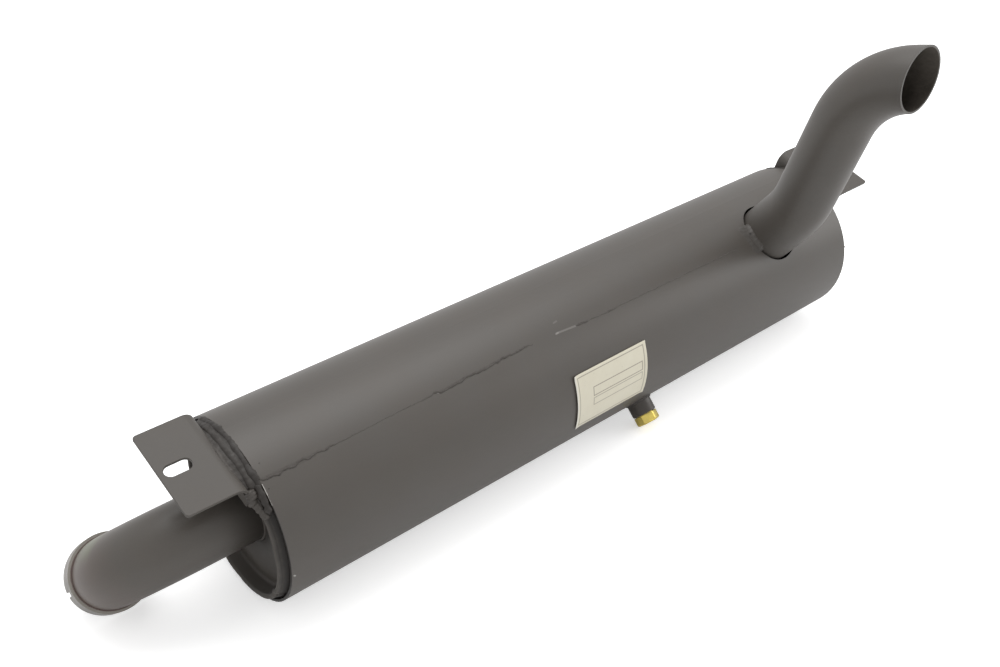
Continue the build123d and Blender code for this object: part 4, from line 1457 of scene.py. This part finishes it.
def make_plate():
    bm = bmesh.new()
    bm.loops.layers.uv.new("plate")
    bmesh.ops.create_grid(bm, x_segments=PLATE_COLUMNS, y_segments=PLATE_ROWS, size=0.5, calc_uvs=True)
    for vert in bm.verts:
        across = (vert.co.x + 0.5) * PLATE_WIDTH
        down = (0.5 - vert.co.y) * PLATE_HEIGHT
        clock = PLATE_CLOCK + math.degrees((down - PLATE_HEIGHT / 2) / (CAN + 0.5))
        x = PLATE_X - PLATE_WIDTH / 2 + across - askew(across, down)
        vert.co = on_can(x, clock, CAN + plate_lift(across, down))
    turn_outwards(bm)
    bm.faces.ensure_lookup_table()
    if bm.faces[len(bm.faces) // 2].normal.dot(lean(PLATE_CLOCK)) < 0:
        bmesh.ops.reverse_faces(bm, faces=bm.faces)
    piece = make_piece("data_plate_foil", bm, [plate_finish], ["data_plate"])
    wall = piece.modifiers.new("foil", "SOLIDIFY")
    wall.thickness = 0.3 * MM
    wall.offset = 1
    return piece


make_plate()

# %% [markdown]
# ## Spatter
# A few beads of spatter stuck beside the near bracket's weld, on the near cap and at the far rim. Each
# is a small flattened ball, half sunk into what carries it. They are listed, not scattered, because
# they are seen one by one.
# %% Weld spatter
SPATTER = [
    (CAP_RECESS, 84.0, 55.0, 0.6), (3.2, 44.5, CAN, 0.4), (6.0, 30.0, CAN, 0.4),
    (LENGTH + 1.2, 76.0, CAN - 0.6, 0.75),
]


def make_spatter():
    bm = bmesh.new()
    for x, clock, radius, size in SPATTER:
        ball = bmesh.ops.create_icosphere(bm, subdivisions=2, radius=size * MM)["verts"]
        bmesh.ops.scale(bm, verts=ball, vec=(1.15, 1.0, 0.8))
        bmesh.ops.translate(bm, verts=ball, vec=on_can(x, clock, radius))
    roughen(bm, 0.15, 0.8, 2)
    return make_piece("weld_spatter", bm, [bracket_weld_finish], (), 80)


make_spatter()

# %% [markdown]
# ## The studio
# The muffler lies on a white sweep under soft, even light. The world gives light from all round, one
# large lamp above and behind the shoulder gives the can its gentle gradient, and a smaller one from
# the outlet side lights the tail pipe's right flank. The background's white comes from what the
# camera and the reflections see, not from brighter lamps, and the floor keeps the soft shadow.
# %% World
SKY_LIGHT = 0.82


def make_world():
    world = bpy.data.worlds.new("white_studio")
    world.use_nodes = True
    tree = world.node_tree
    tree.nodes.clear()
    seen = add_node(tree, "ShaderNodeLightPath")
    plain = calculate(tree, "MAXIMUM", seen.outputs["Is Camera Ray"], seen.outputs["Is Glossy Ray"])
    plain = calculate(tree, "MAXIMUM", plain, seen.outputs["Is Transmission Ray"])
    strength = fade(tree, plain, 0.0, 1.0, SKY_LIGHT, 1.0)
    sky = add_node(tree, "ShaderNodeBackground", {"Color": (1, 1, 1, 1), "Strength": strength})
    out = add_node(tree, "ShaderNodeOutputWorld")
    tree.links.new(sky.outputs[0], out.inputs[0])
    return world


bpy.context.scene.world = make_world()
print("world: white to the eye, soft grey as light")

# %% Lamps


def soft_lamp(name, place, target, width, height, power):
    data = bpy.data.lights.new(name, "AREA")
    data.shape = "RECTANGLE"
    data.size = width
    data.size_y = height
    data.energy = power
    lamp = bpy.data.objects.new(name, data)
    bpy.context.scene.collection.objects.link(lamp)
    lamp.location = place
    lamp.rotation_euler = (Vector(target) - Vector(place)).to_track_quat("-Z", "Y").to_euler()


soft_lamp("overhead_softbox", (0.15, 0.35, 1.7), (0, 0.05, 0.05), 1.8, 1.2, 18)
soft_lamp("outlet_side_softbox", (1.5, -0.7, 0.7), (0.3, 0, 0.15), 0.9, 0.9, 8)
print("two soft lamps")

# %% Floor
GLOW_TO_CAMERA = 0.50
GLOW_IN_MIRRORS = 0.15


def make_floor():
    bm = bmesh.new()
    bmesh.ops.create_grid(bm, x_segments=1, y_segments=1, size=5)
    mesh = bpy.data.meshes.new("white_sweep")
    bm.to_mesh(mesh)
    bm.free()
    floor = bpy.data.objects.new("white_sweep", mesh)
    bpy.context.scene.collection.objects.link(floor)
    material, tree, shader = new_material("white_sweep", Base_Color=(0.86, 0.86, 0.86, 1), Roughness=1.0,
                                          Specular_IOR_Level=0.0)
    seen = add_node(tree, "ShaderNodeLightPath")
    in_mirror = calculate(tree, "MULTIPLY", seen.outputs["Is Glossy Ray"], GLOW_IN_MIRRORS)
    to_camera = calculate(tree, "MULTIPLY", seen.outputs["Is Camera Ray"], GLOW_TO_CAMERA)
    strength = calculate(tree, "MAXIMUM", to_camera, in_mirror)
    glow = add_node(tree, "ShaderNodeEmission", {"Strength": strength})
    both = add_node(tree, "ShaderNodeAddShader", {0: shader.outputs[0], 1: glow.outputs[0]})
    tree.links.new(both.outputs[0], tree.nodes["Material Output"].inputs["Surface"])
    mesh.materials.append(material)
    floor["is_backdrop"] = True


make_floor()
print("floor at z", shell_low.z)

# %% [markdown]
# ## Check and finish
# The dressed model must stay inside the solid model's box, so the dressed box less the solid box is printed,
# in mm.
# %% Write the sizes
dressed_box = [list(corner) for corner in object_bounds()]
grown = [round(1000 * (b - a), 2) for a, b in zip(sum(solid_box, []), sum(dressed_box, []))]
print("dressed box less solid box, mm:", grown)
